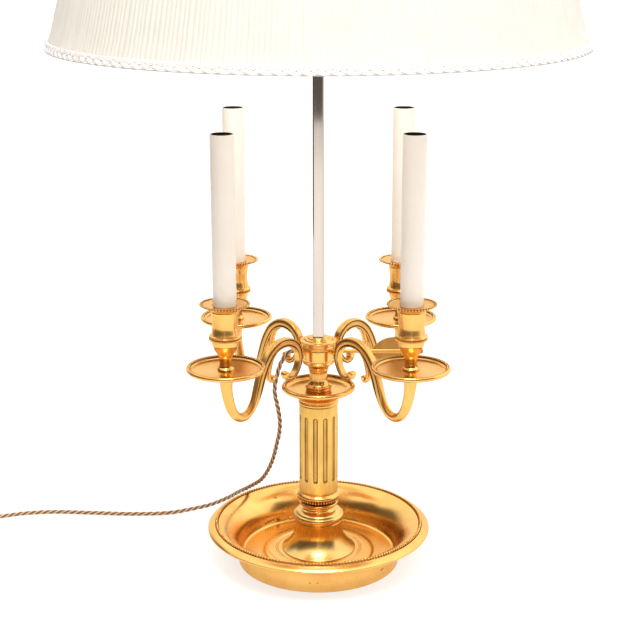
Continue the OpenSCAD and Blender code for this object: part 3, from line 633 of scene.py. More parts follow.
def twisted(line, strands=3, r=1.16, off=1.42, pitch=25.0, sides=8, hand=-1.0):
    """Round strands laid round one centreline, with a UV along each strand."""
    line = np.asarray(line, float)
    n = len(line)
    tan = np.gradient(line, axis=0)
    tan /= np.linalg.norm(tan, axis=1)[:, None]
    u = unit(np.cross(tan[0], [0.2, 0.9, 0.3]))
    us, ws = [], []
    for i in range(n):
        u = unit(u - tan[i] * float(u @ tan[i]))
        us.append(u)
        ws.append(np.cross(tan[i], u))
    us, ws = np.array(us), np.array(ws)
    s = np.r_[0, np.cumsum(np.linalg.norm(np.diff(line, axis=0), axis=1))]
    parts = []
    for k in range(strands):
        a = hand * TAU * s / pitch + TAU * k / strands
        c = line + off * (np.cos(a)[:, None] * us + np.sin(a)[:, None] * ws)
        ct = np.gradient(c, axis=0)
        ct /= np.linalg.norm(ct, axis=1)[:, None]
        e1 = np.cos(a)[:, None] * us + np.sin(a)[:, None] * ws
        e1 = e1 - ct * np.sum(e1 * ct, 1)[:, None]
        e1 /= np.linalg.norm(e1, axis=1)[:, None]
        e2 = np.cross(ct, e1)
        b = np.arange(sides) * TAU / sides
        v = c[:, None, :] + r * (np.cos(b)[None, :, None] * e1[:, None, :] + np.sin(b)[None, :, None] * e2[:, None, :])
        f = ring_quads(n, sides)
        f.append(tuple(range(sides - 1, -1, -1)))
        f.append(tuple((n - 1) * sides + j for j in range(sides)))
        parts.append((v.reshape(-1, 3), f))
    return joined(parts), s


(fv, ff), flex_s = twisted(route)
flex = new_object("flex", fv, ff, flex_mat)
uv = flex.data.uv_layers.new(name="UVMap")
loops = np.zeros(len(flex.data.loops), int)
flex.data.loops.foreach_get("vertex_index", loops)
per = len(route) * 8
# painted shade: each strand's flanks and inner side get a value that darkens them
marked(flex, np.tile([0.0, 0.12, 0.8, 1.0, 1.0, 1.0, 0.8, 0.12], len(route) * 3))
idx = loops % per
along, around = flex_s[idx // 8], (idx % 8) / 8.0
wrap = np.zeros(len(loops))
starts = np.zeros(len(flex.data.polygons), int)
totals = np.zeros(len(flex.data.polygons), int)
flex.data.polygons.foreach_get("loop_start", starts)
flex.data.polygons.foreach_get("loop_total", totals)
quad = totals == 4
for j in range(4):
    at = starts[quad] + j
    first = around[starts[quad]] > 0.8
    wrap[at] = np.where(first & (around[at] < 0.2), 1.0, 0.0)
coords = np.stack([along * 0.55, (around + wrap) * 4.0], 1)
uv.data.foreach_set("uv", coords.ravel())
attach(flex, "lamp")
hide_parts("cord_lamp_run", "cord_switch_run", "cord_coil", "cord_plug_run")

# ------------------------------------------------------------------ turned pieces
BORE = 10.8
DISH = [
    (90.4, 0.8), (90.4, 5), (90.4, 12), (90.4, 18.5), (91, 22.5), (93, 26.6), (97, 30.6), (102.5, 34.6),
    (111, 37.2), (119, 38.2), (123.5, 38.8), (124.5, 39.8), (124.3, 41), (122.3, 42.8),
    (119, 44.6), (116.8, 45.4), (116, 45), (115.4, 44.6), (113.8, 44.6), (113.2, 45), (112.4, 45.4),
    (111, 45.2), (106.6, 43.4), (101, 39.8), (95.6, 34.6), (91.4, 28.2), (88.8, 21), (87.4, 14), (86.2, 10.6), (84.6, 9.4),
    (82, 9), (64, 9), (62.4, 9.4), (61.4, 10.8), (60, 12), (57.5, 12.9), (52, 13.5), (48.6, 13.5), (47.8, 12.6), (46.6, 12.6), (45.8, 13.5),
    (BORE, 13.5), (BORE, 9.5), (54, 9.5), (58, 6.2), (83.6, 6.2), (84.8, 4.6), (86, 4.6), (86, 0.8)]
BELL = [
    (BORE, 13.5), (41.4, 13.5), (41.4, 14.2), (38.4, 16.6), (35.2, 19.6), (32.6, 22.7), (30.4, 26), (28.6, 29.4), (27.3, 33),
    (26.5, 37), (26.1, 41), (26, 45.6), (26.8, 46.4), (26.9, 48), (26.4, 48.8), (26.6, 49.4), (27.8, 50.6), (28.4, 52), (28.5, 53.6),
    (28.1, 55.2), (27.2, 56.4), (25.8, 57), (25.6, 57.8), (24.6, 59), (22.6, 60.1), (20, 60.8), (BORE, 60.8)]
COLLAR = [
    (BORE, 60.8), (19.6, 60.8), (18, 62), (17.2, 63.6), (17.2, 65), (18, 66.2), (20.4, 67), (21.6, 67.8), (21.9, 69), (21.4, 70.2),
    (20.2, 70.9), (18.9, 71.3), (18.5, 72.4), (18.6, 73.4), (19.4, 74.2), (20.6, 74.7), (21.6, 75.4), (22.2, 76.4), (22.9, 77.1), (23.8, 77.6), (24, 78.3),
    (23.8, 79.3), (23.1, 80.4), (22.2, 81.4), (21.6, 82), (21.1, 82.4), (21.1, 83), (21.4, 83.6), (21.4, 84), (BORE, 84)]
CAPITAL = [
    (BORE, 186), (21.2, 186), (22, 186.8), (22.2, 188.2), (21.8, 189.2), (21.1, 189.9), (21.1, 190.6), (22.4, 191.2), (22.9, 192),
    (22.8, 193), (22, 193.6), (19.4, 194), (18.6, 195), (18.6, 196.6), (19.6, 197.8), (21.6, 198.6), (BORE, 198.6)]
CENTRAL = [
    (BORE, 198.6), (24, 198.6), (32, 199.4), (36.4, 200.6), (39.2, 202), (40.4, 203.4), (40.6, 204.8), (40.2, 206), (39, 207),
    (38, 207.2), (37.2, 206.4), (36.8, 204.8), (35.6, 203), (33.4, 201.9), (30, 201.5), (BORE, 201.5)]
STEM = [
    (6.15, 201.5), (12.9, 201.5), (13.6, 202.2), (13.6, 203.4), (13, 204.1), (13.8, 204.7), (14.7, 205.4), (14.7, 206.7), (13.8, 207.3),
    (12.2, 208.2), (11, 210), (10.2, 212.6), (9.9, 215.4), (9.9, 221.6), (10.4, 224), (11.3, 225.6), (11, 226.6), (11.6, 228.2),
    (13.2, 230.2), (14.8, 231.6), (6.15, 231.6)]
URN = [
    (6.15, 231.6), (15, 231.6), (16.4, 232), (17.3, 232.9), (17.3, 233.7), (16.7, 234.5), (16.1, 235), (16.2, 235.8), (16.8, 236.5),
    (16.9, 237.2), (16.9, 242), (16.9, 248.8), (16.6, 249.4), (16.2, 249.9), (16.5, 250.5), (17, 250.9), (17.1, 251.5), (16.8, 252), (16.2, 252.5),
    (16.3, 253.1), (16.8, 253.6), (16.8, 254.6), (6.15, 254.6)]
CAP = [
    (6.15, 254.6), (16.7, 254.6), (16.9, 255.6), (17.6, 256.4), (19, 256.9), (20.2, 257.2), (20.5, 257.7), (20.4, 258.3), (19.9, 258.7),
    (19.2, 258.5), (18.6, 258.1), (17.4, 258.4), (15.8, 258.9), (15.4, 259.4), (15.2, 260), (14.5, 260.3), (12.4, 260.5), (11.9, 260.9),
    (11.7, 261.6), (11.2, 262), (10.2, 262.1), (9.8, 262.5), (9.4, 262.6), (6.15, 262.6)]
PAN = [
    (5.1, 251), (9.4, 251), (10, 251.8), (20, 252.2), (33, 252.8), (37.6, 253.6), (40, 254.6), (41, 256), (41, 257.2), (40.4, 258.4),
    (39.4, 259), (38.4, 259), (37.7, 258.2), (37.2, 256.8), (36, 255.8), (34, 255.4), (5.1, 255.4)]
CUP = [
    (5.1, 255.4), (8.8, 255.4), (8.8, 256.8), (8.2, 257.6), (7.2, 258.6), (6.6, 260.4), (6.5, 264), (6.7, 267), (7.3, 269.6),
    (8.6, 272.2), (10.4, 275.2), (12.2, 278.6), (13.2, 281.2), (13.7, 283.4), (13.7, 287), (13.8, 288.2), (14.2, 289.4), (15.2, 290.2), (16.6, 290.7),
    (16.9, 291.4), (16.4, 292.3), (14.5, 293.2), (14.3, 295), (13.9, 297.6), (13.5, 300.4), (13.4, 303), (13.6, 309), (14.1, 314), (14.7, 317.4),
    (14.4, 318.6), (15.4, 319.8), (17.6, 321.4), (21, 322.8), (23.6, 323.4), (24.2, 324), (24.4, 324.9), (24.1, 325.7), (23.5, 325.7),
    (22.9, 325.1), (21.5, 324.6), (12.3, 324.2), (12.3, 300), (5.1, 300)]


def turned_piece(name, outline, body, replaced, mat, extra=(), seg=160, square=None, at=(0, 0, 0), slot="gilt_brass", shade_windows=(), **kw):
    """The windows argument holds (r0, r1, z0, z1, strength): parts of the outline painted darker through the mark
    attribute, as painted shade in recesses, in the dish's bowl and inside the candle tubes.
    """
    pr = soften(outline, **kw)
    parts = [lathe(pr, seg, square)] + list(extra)
    v, f = joined(parts)
    o = new_object(name, v, f, mat, at=at)
    if shade_windows:
        pts = np.asarray(parts[0][0], float)
        r, z = np.hypot(pts[:, 0], pts[:, 1]), pts[:, 2]
        m = np.zeros(len(v))
        for r0, r1, z0, z1, much in shade_windows:
            m[:len(pts)][(r > r0) & (r < r1) & (z > z0) & (z < z1)] = much
        marked(o, m)
    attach(o, body)
    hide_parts(*replaced)
    return o


# the windows below paint shade into bead grooves, under the collar's flange and over the dish's bowl floor
turned_piece("dish", DISH, "lamp", ["base_dish"], gold_dish, [bead_ring(114.6, 46.1, 204, 1.5, (1.0, 0.82, 1.15), 12, 8)], seg=256, shade_windows=[(112.9, 116.3, 44.2, 45.2, 0.6), (44, 84.5, 8.8, 14, 0.10)])
turned_piece("column_foot", BELL, "lamp", ["pedestal_bell"], gold_bell)
turned_piece("column_collar", COLLAR, "lamp", ["pedestal_collar"], gold_beaded, [bead_ring(22.7, 75.3, 46, 1.3, (0.95, 0.60, 1.6))], shade_windows=[(18, 22.4, 71.0, 76.8, 1.0)])
turned_piece("capital", CAPITAL, "lamp", ["column_capital"], gold)
turned_piece("central_pan", CENTRAL, "lamp", ["central_drip_pan"], gold_beaded, [bead_ring(37.3, 206.2, 103, 1.0, (1, 0.85, 1), 8, 6)], shade_windows=[(36.7, 38.3, 204.6, 207.3, 0.8)])
turned_piece("urn_neck", STEM, "lamp", ["urn_stem"], gold, square=6.2)
turned_piece("urn_lid", CAP, "lamp", ["urn_cap"], gold, square=6.2)


def lying(v, along=(1, 0, 0)):
    """Points of a lathe about Z laid so that its axis runs along +X."""
    v = np.asarray(v, float)
    return np.stack([v[:, 2], v[:, 1], -v[:, 0]], 1)


# the urn's drum with a boss for the key and one for the cord
bosses = []
bv, bf = lathe(soften([(2.56, 12.6), (4.2, 12.6), (4.2, 19), (3.8, 19.6), (2.56, 19.6)], 0.2), 40)
bosses.append((lying(bv) + np.array([0, 0, 245.5]), bf))
bv, bf = lathe(soften([(3.1, 12.6), (4.4, 12.6), (4.4, 18.2), (4, 18.8), (3.1, 18.8)], 0.2), 40)
bosses.append((turned(lying(bv) + np.array([0, 0, 245.5]), 180), bf))
turned_piece("urn", URN, "lamp", ["urn_body"], gold, bosses, square=6.2)

for q in QUADS:
    a = math.radians(ANGLE[q])
    here = (REACH * math.cos(a), REACH * math.sin(a), 0)
    # the windows paint shade into the bead recesses of the pans and under the cups' rim and ring
    turned_piece("pan_" + q, PAN, "lamp", ["drip_pan_" + q], gold_beaded, [bead_ring(37.9, 258.0, 105, 0.98, (1, 0.85, 1), 8, 6)], at=here, seg=144, shade_windows=[(37.1, 38.7, 256.6, 259.1, 0.8)])
    turned_piece("cup_" + q, CUP, "lamp", ["candle_cup_" + q], gold_beaded,
                 [bead_ring(24.6, 325.1, 49, 1.36, (0.95, 0.72, 0.9)), bead_ring(15.8, 289.1, 41, 1.15, (1.05, 0.54, 1.65), 8, 6)],
                 at=here, seg=96, shade_windows=[(22.7, 24.5, 323.4, 325.75, 0.9), (13.6, 16.3, 287.4, 290.5, 0.9)])


# ------------------------------------------------------------------ fluted column
def fluted_grid():
    """The fluted drum as one even grid in angle and height, with rows crowded where the flutes end."""
    R, z0, z1 = 21.4, 84.0, 186.0
    n, w, dr = 12, 2.53, 2.6
    zc0, zc1 = 100.6, 171.8
    half = math.pi / n
    xs = [0, 0.3, 0.62, 0.9, 1.2, 1.5, 1.78, 2.02, 2.22, 2.38, 2.48, 2.53, 2.6, 2.75, 3.1, 3.9, 4.8]
    xs = [-x for x in xs[:0:-1]] + xs
    zs = [z0, z0 + 0.25, z0 + 1, 90, 94]
    ends = sorted([zc0 - x for x in (0, 0.4, 0.8, 1.2, 1.5, 1.78, 2.02, 2.22, 2.38, 2.48, 2.53, 2.6, 2.75, 3.1)])
    zs += ends + list(np.linspace(zc0, zc1, 20)[1:-1])
    ends = sorted([zc1 + x for x in (0, 0.4, 0.8, 1.2, 1.5, 1.78, 2.02, 2.22, 2.38, 2.48, 2.53, 2.6, 2.75, 3.1)])
    zs += ends + [178, 181, z1 - 1, z1 - 0.25, z1]
    cols = []
    for i in range(n):
        t0 = math.radians(261) + 2 * half * i
        cols += [(t0 + x / R, x) for x in xs] + [(t0 + half, half * R)]
    verts = []
    for z in zs:
        dz = max(zc0 - z, z - zc1, 0)
        for a, x in cols:
            d = math.hypot(x, dz)
            cut = 0.0
            if d < w:
                cut = math.sqrt(dr * dr - d * d) - 0.6
            elif d < w + 0.25:
                cut = 0.10 * (1 - (d - w) / 0.25) ** 2
            r = R - cut
            if z < z0 + 0.2 or z > z1 - 0.2:
                r -= 0.2
            verts.append((r * math.cos(a), r * math.sin(a), z))
    nc = len(cols)
    faces = ring_quads(len(zs), nc)
    # bore, so that the drum is a closed ring
    k = len(verts)
    for z in (z0, z1):
        for a, x in cols:
            verts.append((BORE * math.cos(a), BORE * math.sin(a), z))
    top = (len(zs) - 1) * nc
    for j in range(nc):
        q = (j + 1) % nc
        faces.append((k + j, k + q, q, j))
        faces.append((top + j, top + q, k + nc + q, k + nc + j))
        faces.append((k + nc + j, k + nc + q, k + q, k + j))
    return verts, faces


cv, cf = fluted_grid()
column = new_object("column", cv, cf, gold_column, sharp=50)
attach(column, "lamp")
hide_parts("fluted_column")

# ------------------------------------------------------------------ arms
ARM = [
    (50.6, 231.8, 1.2), (51, 229, 2.1), (48, 226, 2.6), (43, 225.2, 2.6), (37.4, 228, 2.4), (33, 234, 2.4), (30.4, 241, 2.7),
    (30, 248, 3.4), (32, 255.4, 4.1), (37.5, 261.6, 4.7), (45.5, 265.4, 4.9), (54.5, 266.2, 4.9), (63.5, 263.8, 4.8), (73, 257, 4.8),
    (79.8, 247.5, 4.8), (85.4, 236, 4.7), (90.4, 222, 4.6), (95.8, 209.5, 4.6), (103.4, 200.6, 4.6), (112.5, 197.6, 4.7),
    (121.5, 201.5, 4.9), (127.8, 211, 5.3), (131.4, 222, 5.7), (133.2, 230.5, 5.95), (134, 238, 6.45), (134, 244.5, 7.3), (134, 251, 8.0)]
WEB = [(12.4, 246.8), (18, 246.8), (24, 245.8), (28.6, 245.2), (29, 252), (24, 251.4), (20.5, 251), (12.4, 251)]
LEAF = [(64, 260, 2.6), (70, 253.6, 2.4), (73.4, 245, 2.3), (74.8, 236.6, 2.1), (74, 230.6, 2), (71, 228, 1.8), (68.4, 229.6, 1.6), (68.6, 232, 1.2)]


def smooth01(x):
    x = min(1.0, max(0.0, x))
    return x * x * (3 - 2 * x)


def arm_section(h, a, groove, rnd):
    """Section of the arm: a half width across, h half thickness. Grooved side faces with raised rims, or round where
    rnd is 1. Also gives a value per point that paints shade into the grooves.
    """
    pts, marks = [], []
    # right side face from bottom to top, then top, then left, then bottom
    face = [(-1.0, -0.6), (-0.965, -0.2), (-0.90, 0), (-0.80, 0), (-0.75, -0.25), (-0.71, -0.95), (-0.56, -1.05), (-0.50, -0.55), (-0.32, -0.12),
            (0, 0.05), (0.32, -0.12), (0.50, -0.55), (0.56, -1.05), (0.71, -0.95), (0.75, -0.25), (0.80, 0), (0.90, 0), (0.965, -0.2), (1.0, -0.6)]
    # the marks paint shade into the grooves, faintly over the whole grooved face
    for v, d in face:
        depth = d * (groove if abs(v) < 0.85 else 1.0)
        pts.append((a + depth, v * h))
        marks.append(min(1.0, max(0.24 * groove, -1.9 * depth - 0.12)) if abs(v) < 0.78 else 0.0)
    crown = [(0.62, 0.02), (0.3, 0.05), (0.0, 0.06), (-0.3, 0.05), (-0.62, 0.02)]
    for u, d in crown:
        pts.append((u * a, h * (1 + d)))
        marks.append(0.0)
    for v, d in face[::-1]:
        depth = d * (groove if abs(v) < 0.85 else 1.0)
        pts.append((-(a + depth), v * h))
        marks.append(min(1.0, max(0.24 * groove, -1.9 * depth - 0.12)) if abs(v) < 0.78 else 0.0)
    for u, d in crown[::-1]:
        pts.append((u * a, -h * (1 + d)))
        marks.append(0.0)
    pts = np.array(pts)
    if rnd > 0:
        ang = np.arctan2(pts[:, 1] / h, pts[:, 0] / a)
        r = 0.5 * (a + h)
        circle = np.stack([np.cos(ang) * (a + (r - a) * 0.6), np.sin(ang) * h], 1)
        pts = pts * (1 - rnd) + circle * rnd
    return pts, marks


def arm_mesh():
    parts, marks = [], []
    c = catmull(np.array(ARM), 8)
    n = len(c)
    line = np.stack([c[:, 0], np.zeros(n), c[:, 1]], 1)
    s = np.r_[0, np.cumsum(np.linalg.norm(np.diff(line, axis=0), axis=1))]
    share = s / s[(len(ARM) - 4) * 8]       # of the way to the round end under the pan
    tan = np.gradient(line, axis=0)
    tan /= np.linalg.norm(tan, axis=1)[:, None]
    lateral = np.array([0, 1.0, 0])
    verts, m = [], 0
    for i in range(n):
        x = c[i, 0]
        outer = smooth01((share[i] - 0.60) / 0.13)       # from the lower bend on, the arm is round
        tip = smooth01((0.10 - share[i]) / 0.08)
        groove = (1 - outer) * (1 - 0.5 * tip)
        a = 3.7 * (1 - outer) + (c[i, 2] * 0.98) * outer
        sec, mk = arm_section(c[i, 2], a, groove, outer)
        marks += mk
        w = np.cross(tan[i], lateral)
        verts.append(line[i] + np.outer(sec[:, 0], lateral) + np.outer(sec[:, 1], w))
        m = len(sec)
    v = np.concatenate(verts)
    f = ring_quads(n, m)
    f.append(tuple(range(m - 1, -1, -1)))
    f.append(tuple((n - 1) * m + j for j in range(m)))
    parts.append((v, f))
    # leaf scroll
    c = catmull(np.array(LEAF), 8)
    n = len(c)
    line = np.stack([c[:, 0], np.zeros(n), c[:, 1]], 1)
    tan = np.gradient(line, axis=0)
    tan /= np.linalg.norm(tan, axis=1)[:, None]
    verts = []
    for i in range(n):
        sec, mk = arm_section(c[i, 2], 2.7, 0.35, 0.25)
        marks += mk
        w = np.cross(tan[i], lateral)
        verts.append(line[i] + np.outer(sec[:, 0], lateral) + np.outer(sec[:, 1], w))
        m = len(sec)
    f = ring_quads(n, m)
    f.append(tuple(range(m - 1, -1, -1)))
    f.append(tuple((n - 1) * m + j for j in range(m)))
    parts.append((np.concatenate(verts), f))

    # scroll heads: short turned buttons across the arm
    def button(x, z, r, half, dome):
        pr = soften([(0, -half - dome), (r * 0.5, -half - dome * 0.75), (r * 0.86, -half - dome * 0.1), (r, -half + 0.7), (r, half - 0.7),
                     (r * 0.86, half + dome * 0.1), (r * 0.5, half + dome * 0.75), (0, half + dome)], 0.2, corner=60)
        bv, bf = lathe(np.array([p for p in pr if p[0] > -1e-6]), 28)
        bv = np.stack([bv[:, 0] + x, bv[:, 2], bv[:, 1] + z], 1)
        return bv, [tuple(q[::-1]) for q in bf]
    parts.append(button(50.4, 230.4, 3.7, 3.7, 0.5))
    parts.append(button(68.5, 231.2, 2.7, 2.75, 0.4))
    # thin web that joins the urn, with its tenon
    rows, k = [], len(WEB)
    mid = np.array([20.5, 248.8])
    for y, inset in ((-1.3, 0.25), (-1.05, 0.0), (1.05, 0.0), (1.3, 0.25)):
        q = np.array(WEB, float)
        q = q + np.sign(mid - q) * inset * np.array([0.0, 1.0])
        rows.append(np.stack([q[:, 0], np.full(k, y), q[:, 1]], 1))
    wv = np.concatenate(rows)
    wf = [tuple(f_[::-1]) for f_ in ring_quads(4, k)]
    wf.append(tuple(range(k)))
    wf.append(tuple(3 * k + j for j in range(k - 1, -1, -1)))
    parts.append((wv, wf))
    v, f = joined(parts)
    return v, f, marks + [0.0] * (len(v) - len(marks))


av, af, arm_marks = arm_mesh()
for q in QUADS:
    o = new_object("arm_cast_" + q, turned(av, ANGLE[q]), af, gold_cast, sharp=48)
    marked(o, arm_marks)
    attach(o, "lamp")
    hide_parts("arm_" + q)

# ------------------------------------------------------------------ candles
SLEEVE = [(11, 300), (12, 300), (12, 340), (12, 400), (12, 460), (12, 498), (11, 498), (11, 400)]
for q in QUADS:
    a = math.radians(ANGLE[q])
    here = (REACH * math.cos(a), REACH * math.sin(a), 0)
    # the window on the inner wall paints shade inside the tube
    turned_piece("candle_" + q, SLEEVE, "sleeve_" + q, ["candle_sleeve_" + q], candle_mat, at=here, seg=96, slot="candle_ivory", fillet=0.35, shade_windows=[(10.5, 11.36, 300.5, 497.95, 1.0)])

# ------------------------------------------------------------------ rod
rv, rf = [], []
sec = []
h, c = 6.0, 1.3
for turn_ in (0, 90, 180, 270):
    ct, st = math.cos(math.radians(turn_)), math.sin(math.radians(turn_))
    for x, y in ((h, h - c - 0.3), (h, h - c - 0.12), (h - 0.06, h - c + 0.08), (h - c + 0.08, h - 0.06), (h - c - 0.12, h), (h - c - 0.3, h)):
        sec.append((x * ct - y * st, x * st + y * ct))
sec2 = [np.array(q) for q in sec]
sec = np.array(sec2)
zs = [96, 96.3, 96.8] + list(np.linspace(100, 790, 47)) + [793.2, 793.7, 794]
verts = []
for z in zs:
    k = 0.94 if z in (96, 794) else 1.0
    verts += [(x * k, y * k, z) for x, y in sec]
faces = ring_quads(len(zs), len(sec))
faces.append(tuple(range(len(sec) - 1, -1, -1)))
faces.append(tuple((len(zs) - 1) * len(sec) + j for j in range(len(sec))))
rod = new_object("rod_bar", verts, faces, rod_mat)
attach(rod, "rod")
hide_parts("square_rod")

# ------------------------------------------------------------------ shade
SHADE = [(277.2, 0), (273.6, 8), (270.6, 17), (267, 30), (263, 46), (255.2, 76), (214, 240)]
LOW = 575.0


def shade_r(hh):
    return float(np.interp(hh, [q[1] for q in SHADE], [q[0] for q in SHADE]))


def smooth_shade_r(hs):
    """The shade's profile with its knots eased."""
    hh = np.linspace(0, 240, 481)
    rr = np.interp(hh, [q[1] for q in SHADE], [q[0] for q in SHADE])
    k = np.hanning(31)
    k /= k.sum()
    pad = np.concatenate([rr[0] + (rr[0] - rr[1:16][::-1]), rr, rr[-1] + (rr[-1] - rr[-16:-1][::-1])])
    rr = np.convolve(pad, k, "valid")
    return np.interp(hs, hh, rr)


def pleated():
    rng = np.random.RandomState(7)
    pleats = 330
    per = 8
    n = pleats * per
    edges = np.cumsum(rng.uniform(0.72, 1.28, pleats))
    edges = np.r_[0, edges] / edges[-1]
    ph = np.zeros(n)
    amp = np.zeros(n)
    height = rng.uniform(0.65, 1.0, pleats)
    lean = rng.uniform(-1, 1, pleats)
    for i in range(pleats):
        for j in range(per):
            ph[i * per + j] = edges[i] + (edges[i + 1] - edges[i]) * j / per
            x = j / per
            # a soft knife pleat: quick rise, slow fall
            amp[i * per + j] = height[i] * (math.sin(math.pi * x ** 0.75) ** 1.2)
    theta = ph * TAU
    hs = np.r_[0, 2, 5, 9, np.linspace(14, 226, 33), 231, 235, 238, 240]
    base = smooth_shade_r(hs)
    drift = np.zeros((len(hs), n))
    for k in range(6):
        f, p, g = rng.randint(20, 90), rng.uniform(0, TAU), rng.uniform(0.6, 2.2)
        drift += np.sin(theta[None, :] * f + p + hs[:, None] / 240 * g * 2) / 6
    hold = np.minimum(1, np.minimum(hs / 10 + 0.35, (240 - hs) / 10 + 0.35))
    depth = (1.05 + 0.55 * hs / 240)[:, None]
    rr = base[:, None] - depth + depth * amp[None, :] * hold[:, None] * (0.85 + 0.25 * drift) - 0.1
    # pleats sway sideways a little on their way up
    sway = np.zeros((len(hs), n))
    for k in range(4):
        f, p = rng.randint(5, 40), rng.uniform(0, TAU)
        sway += np.sin(theta[None, :] * f + p) * np.sin(hs[:, None] / 240 * math.pi * rng.uniform(0.7, 1.6) + rng.uniform(0, 1))
    th = theta[None, :] + sway * 0.0011
    v = np.stack([rr * np.cos(th), rr * np.sin(th), np.broadcast_to(LOW + hs[:, None], rr.shape)], 2).reshape(-1, 3)
    return v, ring_quads(len(hs), n)


pv, pf = pleated()
cover = new_object("cover", pv, pf, silk_mat)
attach(cover, "rod")
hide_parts("shade_cover")

hs = np.linspace(6, 233, 40)
lr = smooth_shade_r(hs) - 6.7
th = np.arange(192) * TAU / 192
lv = np.stack([lr[:, None] * np.cos(th), lr[:, None] * np.sin(th), np.broadcast_to(LOW + hs[:, None], (40, 192))], 2).reshape(-1, 3)
lining = new_object("lining", lv, ring_quads(40, 192), lining_mat)
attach(lining, "rod")
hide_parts("shade_lining")


def braid(h0, h1, units, body_name, replaced, width_scale=1.0):
    """A flat three-strand plait of twisted cords on a tape, round the shade."""
    hm = (h0 + h1) / 2
    r0, r1 = shade_r(h0), shade_r(h1)
    slope = (r1 - r0) / (h1 - h0)
    up = unit(np.array([slope, 1.0]))
    out = np.array([up[1], -up[0]])
    mid_r = (r0 + r1) / 2
    half = (h1 - h0) / 2
    n = units * 3 * 9
    t = np.arange(n) * TAU / n
    parts = []
    cord_r = 0.72
    A = half - 1.9
    for k in range(3):
        ph = t * units + TAU * k / 3
        y = A * np.sin(ph)
        dz = 0.42 * np.sin(2 * ph)
        slope_y = A * np.cos(ph) * units / mid_r
        for q in (-1.2, 0.0, 1.2):
            yy = y + q * np.sqrt(1 / (1 + slope_y ** 2))
            aa = t - q * slope_y / np.sqrt(1 + slope_y ** 2) / mid_r
            depth = 1.15 + dz - 0.12 * abs(q)
            rad = mid_r + yy * up[0] + depth * out[0]
            zz = LOW + hm + yy * up[1] + depth * out[1]
            c = np.stack([rad * np.cos(aa), rad * np.sin(aa), zz], 1)
            tan = np.roll(c, -1, 0) - np.roll(c, 1, 0)
            tan /= np.linalg.norm(tan, axis=1)[:, None]
            e1 = np.stack([np.cos(aa), np.sin(aa), np.zeros(n)], 1)
            e1 = e1 - tan * np.sum(e1 * tan, 1)[:, None]
            e1 /= np.linalg.norm(e1, axis=1)[:, None]
            e2 = np.cross(tan, e1)
            b = np.arange(6) * TAU / 6
            v = c[:, None, :] + cord_r * (0.75 * np.cos(b)[None, :, None] * e1[:, None, :] + np.sin(b)[None, :, None] * e2[:, None, :])
            f = ring_quads(n, 6)
            f += [((n - 1) * 6 + j, (n - 1) * 6 + (j + 1) % 6, (j + 1) % 6, j) for j in range(6)]
            parts.append((v.reshape(-1, 3), f))
    tape = [(shade_r(h0) + 0.35, LOW + h0 + 0.5), (shade_r(h0) + 0.8, LOW + h0 + 0.5), (shade_r(h1) + 0.8, LOW + h1 - 0.5), (shade_r(h1) + 0.35, LOW + h1 - 0.5)]
    parts.append(lathe(tape, 256))
    v, f = joined(parts)
    o = new_object(body_name, v, f, gimp_mat)
    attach(o, "rod")
    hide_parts(replaced)
    return o


gimp_low = braid(-0.5, 9, 47, "gimp_lower", "shade_gimp_bottom")
gimp_top = braid(232, 240.5, 36, "gimp_upper", "shade_gimp_top")

# ------------------------------------------------------------------ finial
FINIAL = [
    (4.02, 798), (9.5, 798), (10, 799), (10, 801), (9, 802), (6.4, 803.4), (5.8, 805.6), (6.4, 807.6), (8.2, 809), (8.6, 810.6), (7.6, 812), (6.2, 813),
    (6.6, 815), (9.4, 818), (11.4, 822), (12, 826), (11.4, 830), (9.4, 834), (6.6, 837.4), (4, 840), (3, 842), (3.4, 844), (4.2, 845.6), (4.2, 847),
    (3, 848.8), (0, 849.6), (0, 815), (4.02, 815)]
turned_piece("finial_top", FINIAL, "rod", ["finial"], gold, seg=64)

# ------------------------------------------------------------------ arrow key
VANE = [(57, 0), (60, 4.4), (65, 9.8), (71, 13.6), (78, 15.8), (87, 16.2), (97, 15.4), (105, 13.4), (107, 11.6), (105.6, 8.2), (102, 4.4), (99.4, 0)]


